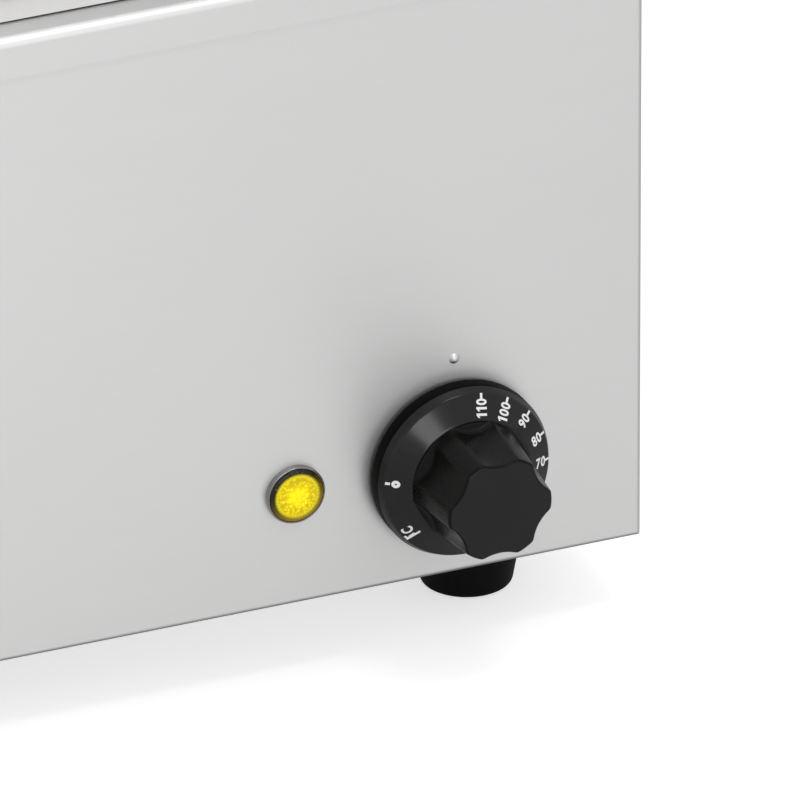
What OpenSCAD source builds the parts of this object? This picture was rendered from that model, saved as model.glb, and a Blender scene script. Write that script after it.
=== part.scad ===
// Electric buffet warmer: a folded stainless casing with a heated water well, two half-size food pans,
// a hinged lid, a thermostat knob and an indicator lamp. Millimetres, +Z up, front towards -Y.

/* [Food pans] */
// Width of one pan over its rim, side to side
pan_w = 265; // [240:1:300]
// Length of one pan over its rim, front to back
pan_l = 325; // [300:1:360]
// Depth of a pan
pan_h = 100; // [65:1:150]
// Width of the flat rim
pan_rim = 13; // [10:0.5:16]
// Sheet thickness of the pans and the adapter bar
pan_t = 0.8; // [0.6:0.1:1.2]
// Height of the rim's turned-down lip
pan_lip = 3; // [2:0.5:5]
// Corner radius of the rim
rim_corner = 14; // [10:1:20]
// Corner radius of the pan body
pan_corner = 36; // [30:1:45]
// Inward draft of the pan walls
pan_draft = 7; // [3:1:10]
// Radius between pan wall and pan floor
floor_r = 14; // [8:1:18]
// Clearance round each rim
pan_gap = 0.5; // [0.3:0.1:1]
// Clearance between the pan walls and the well or the adapter bar
pan_play = 3.5; // [2.5:0.5:5]
// Depth of the adapter bar's sides
bar_h = 14; // [10:1:24]

/* [Casing] */
// Height of the space under the water well
under_h = 82; // [76:1:130]
// Height of the casing's lower edge above the table
stand_h = 27; // [20:1:40]
// Thickness of the stainless sheet
sheet_t = 0.8; // [0.6:0.1:1.2]
// Outside radius of the casing's bends
bend_r = 2; // [1.6:0.1:3]
// Width of the folded flanges
flange_w = 14; // [12:1:18]
// Clearance between sheets that slide into each other
sheet_gap = 0.3; // [0.2:0.1:0.6]
// Width of a vent slot in the rear panel
vent_w = 5; // [4:0.5:8]
// Length of a vent slot
vent_l = 40; // [20:1:60]
// Distance of the left vent row's middle from the casing's side
vent_inset = 121; // [110:1:140]
// Distance of the right vent row's middle from the cable gland
vent_to_gland = 136; // [120:1:150]
// Number of vent slots in each row
vent_n = 8; // [3:1:10]
// Spacing of the vent slots
vent_pitch = 14; // [12:1:20]

/* [Deck and well] */
// Deck beside the pans, left and right
deck_side = 20; // [16:1:60]
// Deck in front of the pans
deck_front = 18; // [14:1:60]
// Deck behind the pans, which carries the hinges
deck_rear = 36; // [34:1:80]
// Height of the deck's turned-down edge
deck_edge = 14; // [8:1:24]
// Outside radius of the deck's edge
deck_bend = 3; // [2:0.1:4]
// Room for water below the pans
water_gap = 40; // [30:1:60]
// Corner radius of the well
well_corner = 20; // [15:1:30]
// Width of the well's flange under the deck
well_flange = 8; // [5:0.5:9]

/* [Lid] */
// How far the lid reaches past the pan rims
lid_over = 8; // [6:1:10]
// Sheet thickness of the lid
lid_t = 1; // [0.8:0.1:1.5]
// Height of the lid's straight skirt
lid_skirt = 17; // [16:1:30]
// Height of the lid's curved shoulder
lid_rise = 54; // [30:1:90]
// Width of the lid's curved shoulder
lid_run = 60; // [30:1:80]
// Corner radius of the lid
lid_corner = 24; // [16:1:40]
// Gap between the closed lid and the deck
lid_gap = 0.4; // [0.3:0.1:1]
// Distance between the handle's legs
handle_span = 120; // [100:1:180]
// Height of the handle rod above the lid
handle_h = 38; // [32:1:60]
// Diameter of the handle rod
handle_d = 8; // [6:0.5:10]
// Radius of the handle's bends
handle_bend = 14; // [12:1:20]
// Diameter of the cool sleeve on the handle
sleeve_d = 18; // [14:0.5:22]
// Distance of the handle from the lid's front edge
handle_back = 88; // [85:1:140]

/* [Hinge] */
// Distance of each hinge from the middle
hinge_x = 170; // [100:1:190]
// Diameter of the hinge pins
pin_d = 5; // [4:0.1:6]
// Outside diameter of the lid's hinge eyes
eye_d = 10; // [9:0.1:11]
// Width of a hinge eye
eye_w = 16; // [14:1:30]
// Thickness of the bracket and strap metal
strap_t = 1.5; // [1:0.1:2]
// Height of the pin above the deck
pin_rise = 8.5; // [8.2:0.1:9.5]
// Distance of the pin behind the lid
pin_back = 12; // [11:0.5:14]
// Angle to which the lid opens
lid_open = 100; // [90:1:105]
// Radial clearance of turning fits
turn_fit = 0.05; // [0.02:0.01:0.1]
// Side clearance between the eyes and the brackets
side_fit = 0.4; // [0.3:0.1:0.8]

/* [Knob] */
// Height of the controls above the casing's lower edge
control_h = 40.5; // [36:0.5:44]
// Distance of the knob from the right side of the casing
knob_inset = 66; // [55:1:90]
// Diameter of the dial
knob_d = 60; // [50:1:66]
// Gap between the dial and the panel
knob_gap = 2; // [1:0.1:3]
// Height of the dial's straight rim
dial_rim = 5; // [3:0.5:8]
// Height of the steep bevel between the dial's rim and its face
bevel_h = 3; // [1:0.5:4]
// Width of that bevel
bevel_w = 1.2; // [0.5:0.1:3]
// Rise of the dial's conical face, from the bevel to the grip
dial_cone = 4; // [1:0.5:6]
// Height of the grip
grip_h = 23.6; // [16:0.1:32]
// Diameter of the grip over its lobes, at the front
grip_d = 36; // [28:1:40]
// Draft of the grip on radius, from dial to front
grip_draft = 2.4; // [0.4:0.1:3]
// Number of lobes
lobe_n = 6; // [5:1:8]
// Depth of the flutes between the lobes
flute_depth = 2.3; // [1:0.1:3]
// Radius of the flutes
flute_r = 14.5; // [6:0.5:18]
// Radius of the lobes' edges
lobe_edge = 2; // [1:0.1:2.5]
// Rounding of the grip's front edge
face_edge = 1; // [0.5:0.1:2]
// Chamfer of the dial's outer edges
rim_edge = 0.6; // [0.3:0.1:1]
// Wall thickness of the dial moulding
knob_wall = 2.5; // [2:0.1:4]
// Diameter of the thermostat's spindle
spindle_d = 6; // [5:0.1:8]
// Diameter of the pressed pip
pip_d = 3.6; // [2:0.1:6]
// Height of the pressed pip
pip_h = 1; // [0.5:0.1:1.5]
// Height of the pip above the knob's axis
pip_rise = 37; // [34:0.5:60]

/* [Indicator lamp] */
// Distance between the lamp and the knob
lamp_pitch = 56; // [48:0.5:90]
// Diameter of the bezel
lamp_d = 20; // [16:0.5:26]
// Height of the bezel in front of the panel
lamp_h = 3; // [3:0.5:8]
// Wall of the bezel
bezel_wall = 0.8; // [0.6:0.1:2.5]
// Diameter of the lens's pebbled face
lens_face_d = 15.4; // [12:0.1:16]
// Diameter of the lamp's body
lamp_body_d = 12; // [10:0.5:12.5]
// Length of the lamp's body behind the panel
lamp_body_l = 34; // [24:1:50]

/* [Feet] */
// Diameter at the top of a foot
foot_top_d = 40; // [34:1:46]
// Diameter at the bottom of a foot
foot_low_d = 30; // [24:1:34]
// Rounding of a foot's lower edge
foot_edge = 2; // [1:0.5:3]
// Distance of the feet from the casing's sides
foot_inset = 43; // [40:1:70]

/* [Heater] */
// Diameter of the heating tube
tube_d = 8; // [6.5:0.5:8.5]
// Spacing of the tube's runs
run_pitch = 60; // [40:1:64]
// Distance of the straight runs' ends from the ends of the well
run_inset = 65; // [55:1:75]
// Length of the two leads beyond the runs
lead_l = 25; // [22:1:30]
// Radius of the leads' downward bend
lead_bend = 12; // [10:0.5:14]
// Distance of the clamp bars from the ends of the runs
clamp_inset = 80; // [60:1:84]
// How far the heat shield reaches past the clamp bars
shield_over = 50; // [20:1:60]
// Diameter of the temperature bulb
bulb_d = 6; // [4:0.1:7]
// Length of the temperature bulb
bulb_l = 80; // [60:1:80]

/* [Cable entry] */
// Distance of the cable gland from the right side of the casing
gland_inset = 85; // [65:1:120]
// Height of the cable gland above the casing's lower edge
gland_h = 44; // [30:1:60]
// Diameter of the gland's thread
gland_d = 16; // [14:1:20]
// Bore of the gland's seal
cord_bore = 8; // [6:0.1:9]
// Distance of the terminal block from the gland, sideways
block_side = 50; // [40:1:60]
// Distance of the terminal block from the rear panel
block_back = 40; // [34:1:50]
// Distance of the earth stud from the terminal block, sideways
earth_side = 50; // [40:1:60]
// Distance of the earth stud from the terminal block, forwards
earth_front = 30; // [20:1:40]

/* [Hidden] */
$fn = 64;

steel = [0.78, 0.78, 0.76];
bright_steel = [0.85, 0.85, 0.84];
black = [0.09, 0.09, 0.09];
brass = [0.75, 0.6, 0.3];
eps = 0.01;
over = 1;

// Casing
ledge = pan_rim + pan_gap - pan_play;
well_h = pan_h + water_gap;
body_w = 2 * pan_w + 2 * deck_side;
body_d = deck_front + pan_l + deck_rear;
body_h = under_h + well_h;
deck_z = stand_h + body_h;
deck_top = deck_z + sheet_t;
front_y = -body_d / 2;
rear_y = body_d / 2;
pans_y = front_y + deck_front + pan_l / 2;
opening_w = 2 * (pan_w - ledge);
opening_d = pan_l - 2 * ledge;
floor_z = stand_h + sheet_t;
base_z = floor_z + sheet_t;
flange_mid = flange_w / 2;
base_screw_x = 142;
base_screw_y = 95;
rear_screw_end = 36;
screw_l = 6;

// Screws, named by thread
m4_hole = 2.2;
m4_shank = 2;
m4_head_r = 3.6;
m4_head_h = 2.2;
m5_hole = 2.75;
m5_shank = 2.5;
m5_head_r = 4.6;
m5_head_h = 2.8;
m5_flat = 8;
m5_nut_h = 4;
head_side = 0.6;
head_crown = 0.75;
thread_end = 2;
thread_gap = 0.05;

// Pans
rim_z = deck_top + pan_t + pan_lip;
pan_x = pan_w / 2;

// Lid and hinge
lid_z = deck_top + lid_gap;
lid_w = 2 * (pan_w + lid_over);
lid_d = pan_l + 2 * lid_over;
lid_top = lid_z + lid_skirt + lid_rise;
lid_rear = pans_y + lid_d / 2;
handle_y = pans_y - lid_d / 2 + handle_back;
washer_t = 1.5;
washer_edge = 4;
washer_r = handle_d / 2 + washer_edge;
handle_nut_h = 6.5;
nut_edge = 5;
handle_flat = handle_d + nut_edge;
rod_end = 1;
rod_under = lid_t + washer_t + handle_nut_h + rod_end;
sleeve_gap = 2;
sleeve_l = handle_span - 2 * handle_bend - 2 * sleeve_gap;
sleeve_taper = 10;
sleeve_edge = 2;
sleeve_crown = 0.5;
pin_y = lid_rear + pin_back;
pin_z = deck_top + pin_rise;
ear_x = eye_w / 2 + side_fit;
ear_edge = 0.5;
ear_r = eye_d / 2 + ear_edge;
bracket_wing = 11;
bracket_front = ear_r;
bracket_rear = 9.5;
stop_y = 7;
lug_l = 10;
stop_gap = 0.3;
lug_drop = stop_y * tan(lid_open - 90) + strap_t / 2 / cos(lid_open - 90) + strap_t * tan(lid_open - 90);
stop_h = pin_rise - lug_drop - stop_gap;
rivet_r = 1.6;
rivet_head_r = 2.8;
rivet_head_h = 1.3;
rivet_crown = 0.7;
rivet_edge = 1;
strap_low = 1;
strap_rivet_x = 4.5;
strap_rivet_z = lid_z + lid_skirt - rivet_head_r - rivet_edge;
bracket_rivet_x = ear_x + strap_t + bracket_wing / 2;
bracket_rivet_y = 2;

// Controls
control_z = stand_h + control_h;
knob_x = body_w / 2 - knob_inset;
lamp_x = knob_x - lamp_pitch;
dial_z = knob_gap + dial_rim;
crease_z = dial_z + bevel_h;
grip_z = crease_z + dial_cone;
grip_ledge = 0.5;
face_z = grip_z + grip_h;
grip_r = grip_d / 2;
hub_wall = 4;
hub_r = spindle_d / 2 + hub_wall;
bore_l = 12;
bore_end = grip_z + bore_l;
spindle_flat = 1.6;
spindle_play = 2;
switch_w = 40;
switch_h = 36;
switch_l = 26;
plate_w = 46;
plate_h = 20;
plate_t = 1.5;
fixing_x = 14;
fixing_l = 6;
fixing_depth = 8;
blade_w = 6.3;
blade_t = 0.8;
blade_l = 8;
blade_x = 8;
blade_y = 12;
spindle_seat = 20;

// Lamp
lens_r = lamp_d / 2 - bezel_wall;
bezel_floor = 1.2;
bezel_lip = 0.4;
bezel_lip_h = 0.9;
bezel_edge = 0.4;
lens_gap = 0.1;
lens_sink = 0.2;
lens_crown = 0.3;
lens_slope = 0.8;
lamp_nut_edge = 6;
lamp_nut_flat = lamp_body_d + lamp_nut_edge;
lamp_nut_h = 4;
lamp_blade_x = 3;

// Heater
well_z = deck_z - well_h;
run_l = opening_w - 2 * run_inset;
clamp_x = run_l / 2 - clamp_inset;
tube_gap = 0.2;
tube_z = well_z - tube_gap - tube_d / 2;
bar_z = tube_z - tube_d / 2 - tube_gap;
clamp_t = 1.5;
clamp_w = 16;
shield_z = bar_z - clamp_t - m5_nut_h - sheet_t;
stud_end = shield_z - m5_nut_h - thread_end;
lead_x = run_l / 2 + lead_l + lead_bend;
leg_l = 10;
bead_l = 8;
bead_r = 3.8;
bead_tip_r = 2.7;
pin_r = 1.5;
pin_l = 10;
leg_z = tube_z - lead_bend - leg_l;
bulb_x = 20;
bulb_z = well_z - bulb_d / 2 - thread_gap;
clip_w = 12;
clip_foot = 6;
clip_play = 0.1;
cutout_x = 50;

// Cable gland
gland_x = body_w / 2 - gland_inset;
gland_z = stand_h + gland_h;
gland_edge = 6;
gland_flat = gland_d + gland_edge;
gland_hex = 5;
gland_in = 12;
gland_neck = 6;
gland_wall = 1.8;
locknut_h = 4;
cap_l = 15;
cap_nose = 7;
cap_flats = 12;
cap_corner = 0.6;
cap_mouth = 0.6;
cap_nose_share = 0.6;
gland_reach = gland_hex + cap_l;
cord_play = 1;
seal_r = gland_d / 2 - gland_wall;
seal_l = 9;
seal_sink = 1;
seal_play = 0.2;

// Terminal block and earth stud
block_x = gland_x - block_side;
block_y = rear_y - block_back;
block_w = 44;
block_d = 18;
block_h = 20;
clamp_screw_r = 2.5;
block_fixing_r = 1.6;
earth_x = block_x - earth_side;
earth_y = block_y - earth_front;
earth_l = 14;

// Feet
recess_edge = 2.4;
recess_r = m5_head_r + recess_edge;
recess_roof = 10;
recess_h = stand_h - recess_roof;
foot_washer_t = 1.2;
foot_washer_gap = 0.4;

// Hinge pins
pin_head_edge = 1.5;
pin_head_r = pin_d / 2 + pin_head_edge;
pin_head_h = 1.5;
clip_t = 0.8;
pin_tail = 2.5;

// The whole part is centred on its box from front knob to rear gland
body_y = (face_z - gland_reach) / 2;

// Shapes that repeat

module rounded_rect(w, d, r) {
  square([w - 2 * r, d], center = true);
  square([w, d - 2 * r], center = true);
  for (sx = [-1, 1], sy = [-1, 1])
    translate([sx * (w / 2 - r), sy * (d / 2 - r)]) circle(r);
}

// A box with every edge rounded, standing on z = 0
module folded_box(w, d, h, r) {
  intersection() {
    linear_extrude(h) rounded_rect(w, d, r);
    translate([0, d, h / 2]) rotate([90, 0, 0]) linear_extrude(2 * d) rounded_rect(w, h, r);
    translate([-w, 0, h / 2]) rotate([90, 0, 90]) linear_extrude(2 * w) rounded_rect(d, h, r);
  }
}

module hex_nut(flat, h, bore_r) {
  difference() {
    cylinder(h = h, r = flat / 2 / cos(30), $fn = 6);
    translate([0, 0, -over]) cylinder(h = h + 2 * over, r = bore_r);
  }
}

module washer(r, h, bore_r) {
  difference() {
    cylinder(h = h, r = r);
    translate([0, 0, -over]) cylinder(h = h + 2 * over, r = bore_r);
  }
}

// A pan head from z = 0 upwards on a shank that runs down
module pan_screw(shank_r, shank_l, head_r, head_h) {
  translate([0, 0, -shank_l]) cylinder(h = shank_l + eps, r = shank_r);
  cylinder(h = head_h * head_side, r = head_r);
  translate([0, 0, head_h * head_side])
    cylinder(h = head_h * (1 - head_side), r1 = head_r, r2 = head_r * head_crown);
}

// A rivet through grip mm of sheet, heads on both sides, axis along z
module rivet(grip) {
  translate([0, 0, -eps]) cylinder(h = grip + 2 * eps, r = rivet_r);
  translate([0, 0, -rivet_head_h])
    cylinder(h = rivet_head_h, r1 = rivet_head_r * rivet_crown, r2 = rivet_head_r);
  translate([0, 0, grip]) cylinder(h = rivet_head_h, r1 = rivet_head_r, r2 = rivet_head_r * rivet_crown);
}

// A skin over a list of rings, each with the same number of points, anticlockwise seen from the last ring
module loft(rings) {
  m = len(rings);
  n = len(rings[0]);
  points = [for (one = rings) each one];
  sides = [for (i = [0:m - 2], k = [0:n - 1])
    let (a = i * n + k, b = i * n + (k + 1) % n)
    each [[a, a + n, b], [b, a + n, b + n]]];
  first = [for (k = [0:n - 1]) k];
  last = [for (k = [n - 1:-1:0]) (m - 1) * n + k];
  polyhedron(points = points, faces = concat(sides, [first, last]));
}

// The outline of a rounded rectangle at height z, with flats on each corner
corner_flats = 8;
function rounded_ring(w, d, r, z) = [
  for (q = [0:3], k = [0:corner_flats])
    let (a = 90 * (q + k / corner_flats), sx = (q == 0 || q == 3) ? 1 : -1, sy = q < 2 ? 1 : -1)
    [sx * (w / 2 - r) + r * cos(a), sy * (d / 2 - r) + r * sin(a), z]
];

// Smooth curve through hand-chosen points, swept as a tube of flat sides
function unit(v) = v / norm(v);
function knot(p, i) = p[max(0, min(len(p) - 1, i))];
function blend(a, b, c, d, t) =
  b + (c - a) * t / 2 + (2 * a - 5 * b + 4 * c - d) * t * t / 2 + (3 * b - a - 3 * c + d) * t * t * t / 2;
function curve(p, steps) = concat(
  [for (i = [0:len(p) - 2], k = [0:steps - 1])
    blend(knot(p, i - 1), p[i], p[i + 1], knot(p, i + 2), k / steps)],
  [p[len(p) - 1]]
);
function ring(c, t, side, r, n) =
  let (u = unit(cross(t, side)), v = cross(t, u))
  [for (k = [0:n - 1]) c + r * (cos(360 * k / n) * u + sin(360 * k / n) * v)];

module swept_tube(points, r, side, n = 6, steps = 5) {
  path = curve(points, steps);
  m = len(path);
  loft([for (i = [0:m - 1])
    ring(path[i], unit(path[min(i + 1, m - 1)] - path[max(i - 1, 0)]), side, r, n)]);
}

module placed() {
  translate([0, body_y, 0]) children();
}

// On the front panel: x to the right, y up, z out of the panel
module on_front(x) {
  placed() translate([x, front_y, control_z]) rotate([90, 0, 0]) children();
}

module on_rear() {
  placed() translate([gland_x, rear_y, gland_z]) rotate([-90, 0, 0]) children();
}

module at_feet() {
  for (sx = [-1, 1], sy = [-1, 1])
    placed() translate([sx * (body_w / 2 - foot_inset), sy * (body_d / 2 - foot_inset), 0]) children();
}

module at_base_screws() {
  for (sx = [-1, 1], sy = [-1, 1]) {
    placed() translate([sx * (body_w / 2 - flange_mid), sy * (body_d / 2 - base_screw_y), stand_h]) children();
    placed() translate([sx * (body_w / 2 - base_screw_x), sy * (body_d / 2 - flange_mid - sheet_t), stand_h])
      children();
  }
}

module at_rear_screws() {
  for (sx = [-1, 1], sz = [-1:1])
    placed() translate([
      sx * (body_w / 2 - flange_mid),
      rear_y,
      stand_h + body_h / 2 + sz * (body_h / 2 - rear_screw_end)
    ]) rotate([-90, 0, 0]) children();
}

module at_studs() {
  for (sx = [-1, 1], sy = [-1, 1])
    placed() translate([sx * clamp_x, pans_y + sy * run_pitch, 0]) children();
}

module at_handle_legs() {
  for (sx = [-1, 1])
    placed() translate([sx * handle_span / 2, handle_y, 0]) children();
}

module at_hinge(side) {
  placed() translate([side * hinge_x, pin_y, pin_z]) children();
}

// Casing

module casing() {
  depth = body_d - sheet_t;
  inner_w = body_w - 2 * flange_w;
  inner_d = depth - 2 * flange_w;
  color(steel) {
    difference() {
      placed() translate([0, -sheet_t / 2, stand_h]) difference() {
        folded_box(body_w, depth, body_h, bend_r);
        translate([0, 0, sheet_t])
          folded_box(body_w - 2 * sheet_t, depth - 2 * sheet_t, body_h - 2 * sheet_t, bend_r - sheet_t);
        translate([-inner_w / 2, -inner_d / 2, -over]) cube([inner_w, inner_d, body_h + 2 * over]);
        translate([-inner_w / 2, 0, bend_r]) cube([inner_w, depth, body_h - 2 * bend_r]);
      }
      on_front(knob_x) translate([0, 0, -bend_r]) cylinder(h = 2 * bend_r, r = spindle_d / 2 + spindle_play);
      for (s = [-1, 1])
        on_front(knob_x) translate([s * fixing_x, 0, -bend_r]) cylinder(h = 2 * bend_r, r = m4_hole);
      on_front(lamp_x) translate([0, 0, -bend_r]) cylinder(h = 2 * bend_r, r = lamp_body_d / 2 + sheet_gap);
      at_base_screws() translate([0, 0, -over]) cylinder(h = 2 * bend_r, r = m4_hole);
      at_rear_screws() translate([0, 0, -2 * bend_r]) cylinder(h = 4 * bend_r, r = m4_hole);
      for (side = [-1, 1], s = [-1, 1])
        at_hinge(side) translate([s * bracket_rivet_x, bracket_rivet_y, deck_z - pin_z - flange_w])
          cylinder(h = flange_w + sheet_t, r = rivet_head_r + sheet_gap);
    }
    pip_r = (pip_d * pip_d / 4 + pip_h * pip_h) / (2 * pip_h);
    on_front(knob_x) intersection() {
      translate([0, pip_rise, pip_h - pip_r]) sphere(pip_r);
      translate([-pip_d, pip_rise - pip_d, -sheet_t / 2]) cube([2 * pip_d, 2 * pip_d, 2 * pip_h]);
    }
  }
}

module vent_slot() {
  square([vent_w, vent_l - vent_w], center = true);
  for (s = [-1, 1]) translate([0, s * (vent_l - vent_w) / 2]) circle(vent_w / 2);
}

module rear_panel() {
  h = body_h - deck_bend - sheet_gap;
  w = body_w - 2 * bend_r;
  color(steel) difference() {
    placed() translate([-w / 2, rear_y - sheet_t, stand_h]) cube([w, sheet_t, h]);
    for (x = [vent_inset - body_w / 2, gland_x - vent_to_gland], k = [0:vent_n - 1])
      placed() translate([x + (k - (vent_n - 1) / 2) * vent_pitch, rear_y + over, stand_h + under_h - vent_l / 2])
        rotate([90, 0, 0]) linear_extrude(sheet_t + 2 * over) vent_slot();
    on_rear() translate([0, 0, -sheet_t - over]) cylinder(h = sheet_t + 2 * over, r = gland_d / 2 + sheet_gap);
    at_rear_screws() translate([0, 0, -sheet_t - over]) cylinder(h = sheet_t + 2 * over, r = m4_hole);
  }
}

module base_plate() {
  edge = bend_r + sheet_gap;
  w = body_w - 2 * edge;
  d = body_d - 2 * edge - sheet_t;
  color(steel) difference() {
    placed() translate([-w / 2, -d / 2 - sheet_t / 2, floor_z]) cube([w, d, sheet_t]);
    at_feet() translate([0, 0, floor_z - over]) cylinder(h = sheet_t + 2 * over, r = m5_hole);
    at_base_screws() translate([0, 0, -over]) cylinder(h = 2 * sheet_t + 2 * over, r = m4_hole);
  }
}

module deck() {
  w = body_w + 2 * (sheet_t + sheet_gap);
  d = body_d + 2 * (sheet_t + sheet_gap);
  color(steel) difference() {
    placed() translate([0, 0, deck_top - 2 * deck_edge]) difference() {
      folded_box(w, d, 2 * deck_edge, deck_bend);
      translate([0, 0, -sheet_t])
        folded_box(w - 2 * sheet_t, d - 2 * sheet_t, 2 * deck_edge, deck_bend - sheet_t);
      translate([-w, -d, -over]) cube([2 * w, 2 * d, deck_edge + over]);
      translate([0, pans_y, deck_edge]) linear_extrude(2 * deck_edge)
        rounded_rect(opening_w, opening_d, well_corner);
    }
    for (side = [-1, 1], s = [-1, 1])
      at_hinge(side) translate([s * bracket_rivet_x, bracket_rivet_y, -pin_rise - sheet_t - over])
        cylinder(h = sheet_t + 2 * over, r = rivet_r + thread_gap);
  }
}

module water_well() {
  w = opening_w + 2 * sheet_t;
  d = opening_d + 2 * sheet_t;
  r = well_corner + sheet_t;
  color(steel) placed() translate([0, pans_y, well_z]) difference() {
    union() {
      linear_extrude(well_h) rounded_rect(w, d, r);
      translate([0, 0, well_h - sheet_t]) linear_extrude(sheet_t)
        rounded_rect(w + 2 * well_flange, d + 2 * well_flange, r + well_flange);
    }
    translate([0, 0, sheet_t]) linear_extrude(well_h) rounded_rect(opening_w, opening_d, well_corner);
  }
}

// Pans

module adapter_bar() {
  w = 2 * ledge;
  tab = ledge - sheet_gap;
  color(bright_steel) placed() translate([0, pans_y, deck_top]) {
    translate([-w / 2, -opening_d / 2 - tab, 0]) cube([w, opening_d + 2 * tab, pan_t]);
    for (s = [-1, 1])
      translate([s * (w - pan_t) / 2 - pan_t / 2, -opening_d / 2 + sheet_gap, -bar_h])
        cube([pan_t, opening_d - 2 * sheet_gap, bar_h + eps]);
  }
}

// The pan body's outline, drawn in by skin on every side, from its floor up to top
module pan_form(skin, top) {
  w = pan_w - 2 * (pan_gap + pan_rim) - 2 * skin;
  d = pan_l - 2 * (pan_gap + pan_rim) - 2 * skin;
  wall = [for (a = [90:-15:0]) [pan_draft + floor_r * (1 - cos(a)), skin - pan_h + floor_r * (1 - sin(a))]];
  loft([for (p = concat(wall, [[0, top]]))
    rounded_ring(w - 2 * p[0], d - 2 * p[0], pan_corner - p[0], p[1])]);
}

module pan(side) {
  w = pan_w - 2 * pan_gap;
  d = pan_l - 2 * pan_gap;
  lip = pan_lip + pan_t;
  color(bright_steel) placed() translate([side * pan_x, pans_y, rim_z]) difference() {
    union() {
      translate([0, 0, -pan_t]) linear_extrude(pan_t) rounded_rect(w, d, rim_corner);
      translate([0, 0, -pan_lip]) linear_extrude(pan_lip) difference() {
        rounded_rect(w, d, rim_corner);
        rounded_rect(w - 2 * pan_t, d - 2 * pan_t, rim_corner - pan_t);
      }
      pan_form(0, 0);
    }
    pan_form(pan_t, lip);
  }
}

module pan_left() {
  pan(-1);
}

module pan_right() {
  pan(1);
}

// Heater

module tube_arc(radius, angle) {
  rotate_extrude(angle = angle) translate([radius, 0]) circle(tube_d / 2);
}

module heating_element() {
  color([0.35, 0.34, 0.33]) placed() translate([0, pans_y, tube_z]) {
    for (k = [0:3]) {
      lead = (k == 0 || k == 3) ? lead_l : 0;
      translate([-run_l / 2, (k - 1.5) * run_pitch, 0]) rotate([0, 90, 0])
        cylinder(h = run_l + lead, r = tube_d / 2);
    }
    for (s = [-1, 1]) {
      translate([-run_l / 2, s * run_pitch, 0]) rotate(90) tube_arc(run_pitch / 2, 180);
      translate([run_l / 2 + lead_l, s * 1.5 * run_pitch, -lead_bend]) rotate([90, 0, 0]) tube_arc(lead_bend, 90);
      translate([lead_x, s * 1.5 * run_pitch, -lead_bend - leg_l]) cylinder(h = leg_l, r = tube_d / 2);
    }
    translate([run_l / 2, 0, 0]) rotate(-90) tube_arc(run_pitch / 2, 180);
  }
}

module element_terminals() {
  color([0.9, 0.88, 0.82])
    for (s = [-1, 1])
      placed() translate([lead_x, pans_y + s * 1.5 * run_pitch, leg_z]) {
        translate([0, 0, -bead_l]) cylinder(h = bead_l, r1 = bead_tip_r, r2 = bead_r);
        translate([0, 0, -bead_l - pin_l]) cylinder(h = pin_l + eps, r = pin_r);
      }
}

module element_studs() {
  color(bright_steel) at_studs() translate([0, 0, stud_end]) cylinder(h = well_z - stud_end, r = m5_shank);
}

module element_clamps() {
  l = 3 * run_pitch + tube_d + 2 * clamp_w;
  color(steel) difference() {
    for (s = [-1, 1])
      placed() translate([s * clamp_x - clamp_w / 2, pans_y - l / 2, bar_z - clamp_t]) cube([clamp_w, l, clamp_t]);
    at_studs() translate([0, 0, bar_z - clamp_t - over]) cylinder(h = clamp_t + 2 * over, r = m5_hole);
  }
}

module element_nuts() {
  color(brass) at_studs()
    for (z = [bar_z - clamp_t - m5_nut_h, shield_z - m5_nut_h])
      translate([0, 0, z]) hex_nut(m5_flat, m5_nut_h, m5_shank + thread_gap);
}

module heat_shield() {
  l = 2 * (clamp_x + shield_over);
  d = 3 * run_pitch + tube_d + 2 * clamp_w;
  color(steel) difference() {
    placed() translate([-l / 2, pans_y - d / 2, shield_z]) cube([l, d, sheet_t]);
    at_studs() translate([0, 0, shield_z - over]) cylinder(h = sheet_t + 2 * over, r = m5_hole);
  }
}

module overheat_cutout() {
  disc_r = 8;
  disc_h = 7;
  tab_t = 1;
  tab_l = 30;
  tag_x = 10;
  tag_l = 6;
  color(black) placed() translate([-cutout_x, pans_y, well_z]) {
    translate([-tab_l / 2, -disc_r, -tab_t]) cube([tab_l, 2 * disc_r, tab_t]);
    translate([0, 0, -tab_t - disc_h]) cylinder(h = disc_h + eps, r = disc_r);
    for (s = [-1, 1])
      translate([s * tag_x - tag_l / 2, -blade_w / 2, -tab_t - disc_h]) cube([tag_l, blade_w, blade_t]);
  }
}

// Thermostat

module thermostat() {
  back = -sheet_t - plate_t - switch_l;
  color([0.82, 0.8, 0.74]) on_front(knob_x) {
    difference() {
      union() {
        translate([-plate_w / 2, -plate_h / 2, -sheet_t - plate_t]) cube([plate_w, plate_h, plate_t]);
        translate([-switch_w / 2, -switch_h / 2, back]) cube([switch_w, switch_h, switch_l + eps]);
        for (s = [-1, 1])
          translate([s * blade_x - blade_w / 2, -switch_h / 2 - blade_l, -sheet_t - blade_y])
            cube([blade_w, blade_l + eps, blade_t]);
      }
      translate([0, 0, -spindle_seat - turn_fit]) cylinder(h = 2 * spindle_seat, r = spindle_d / 2 + turn_fit);
      for (s = [-1, 1])
        translate([s * fixing_x, 0, -sheet_t - fixing_depth])
          cylinder(h = fixing_depth + over, r = m4_shank + thread_gap);
    }
  }
}

module thermostat_screws() {
  color(bright_steel)
    for (s = [-1, 1])
      on_front(knob_x) translate([s * fixing_x, 0, 0]) pan_screw(m4_shank, sheet_t + fixing_l, m4_head_r, m4_head_h);
}

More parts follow.
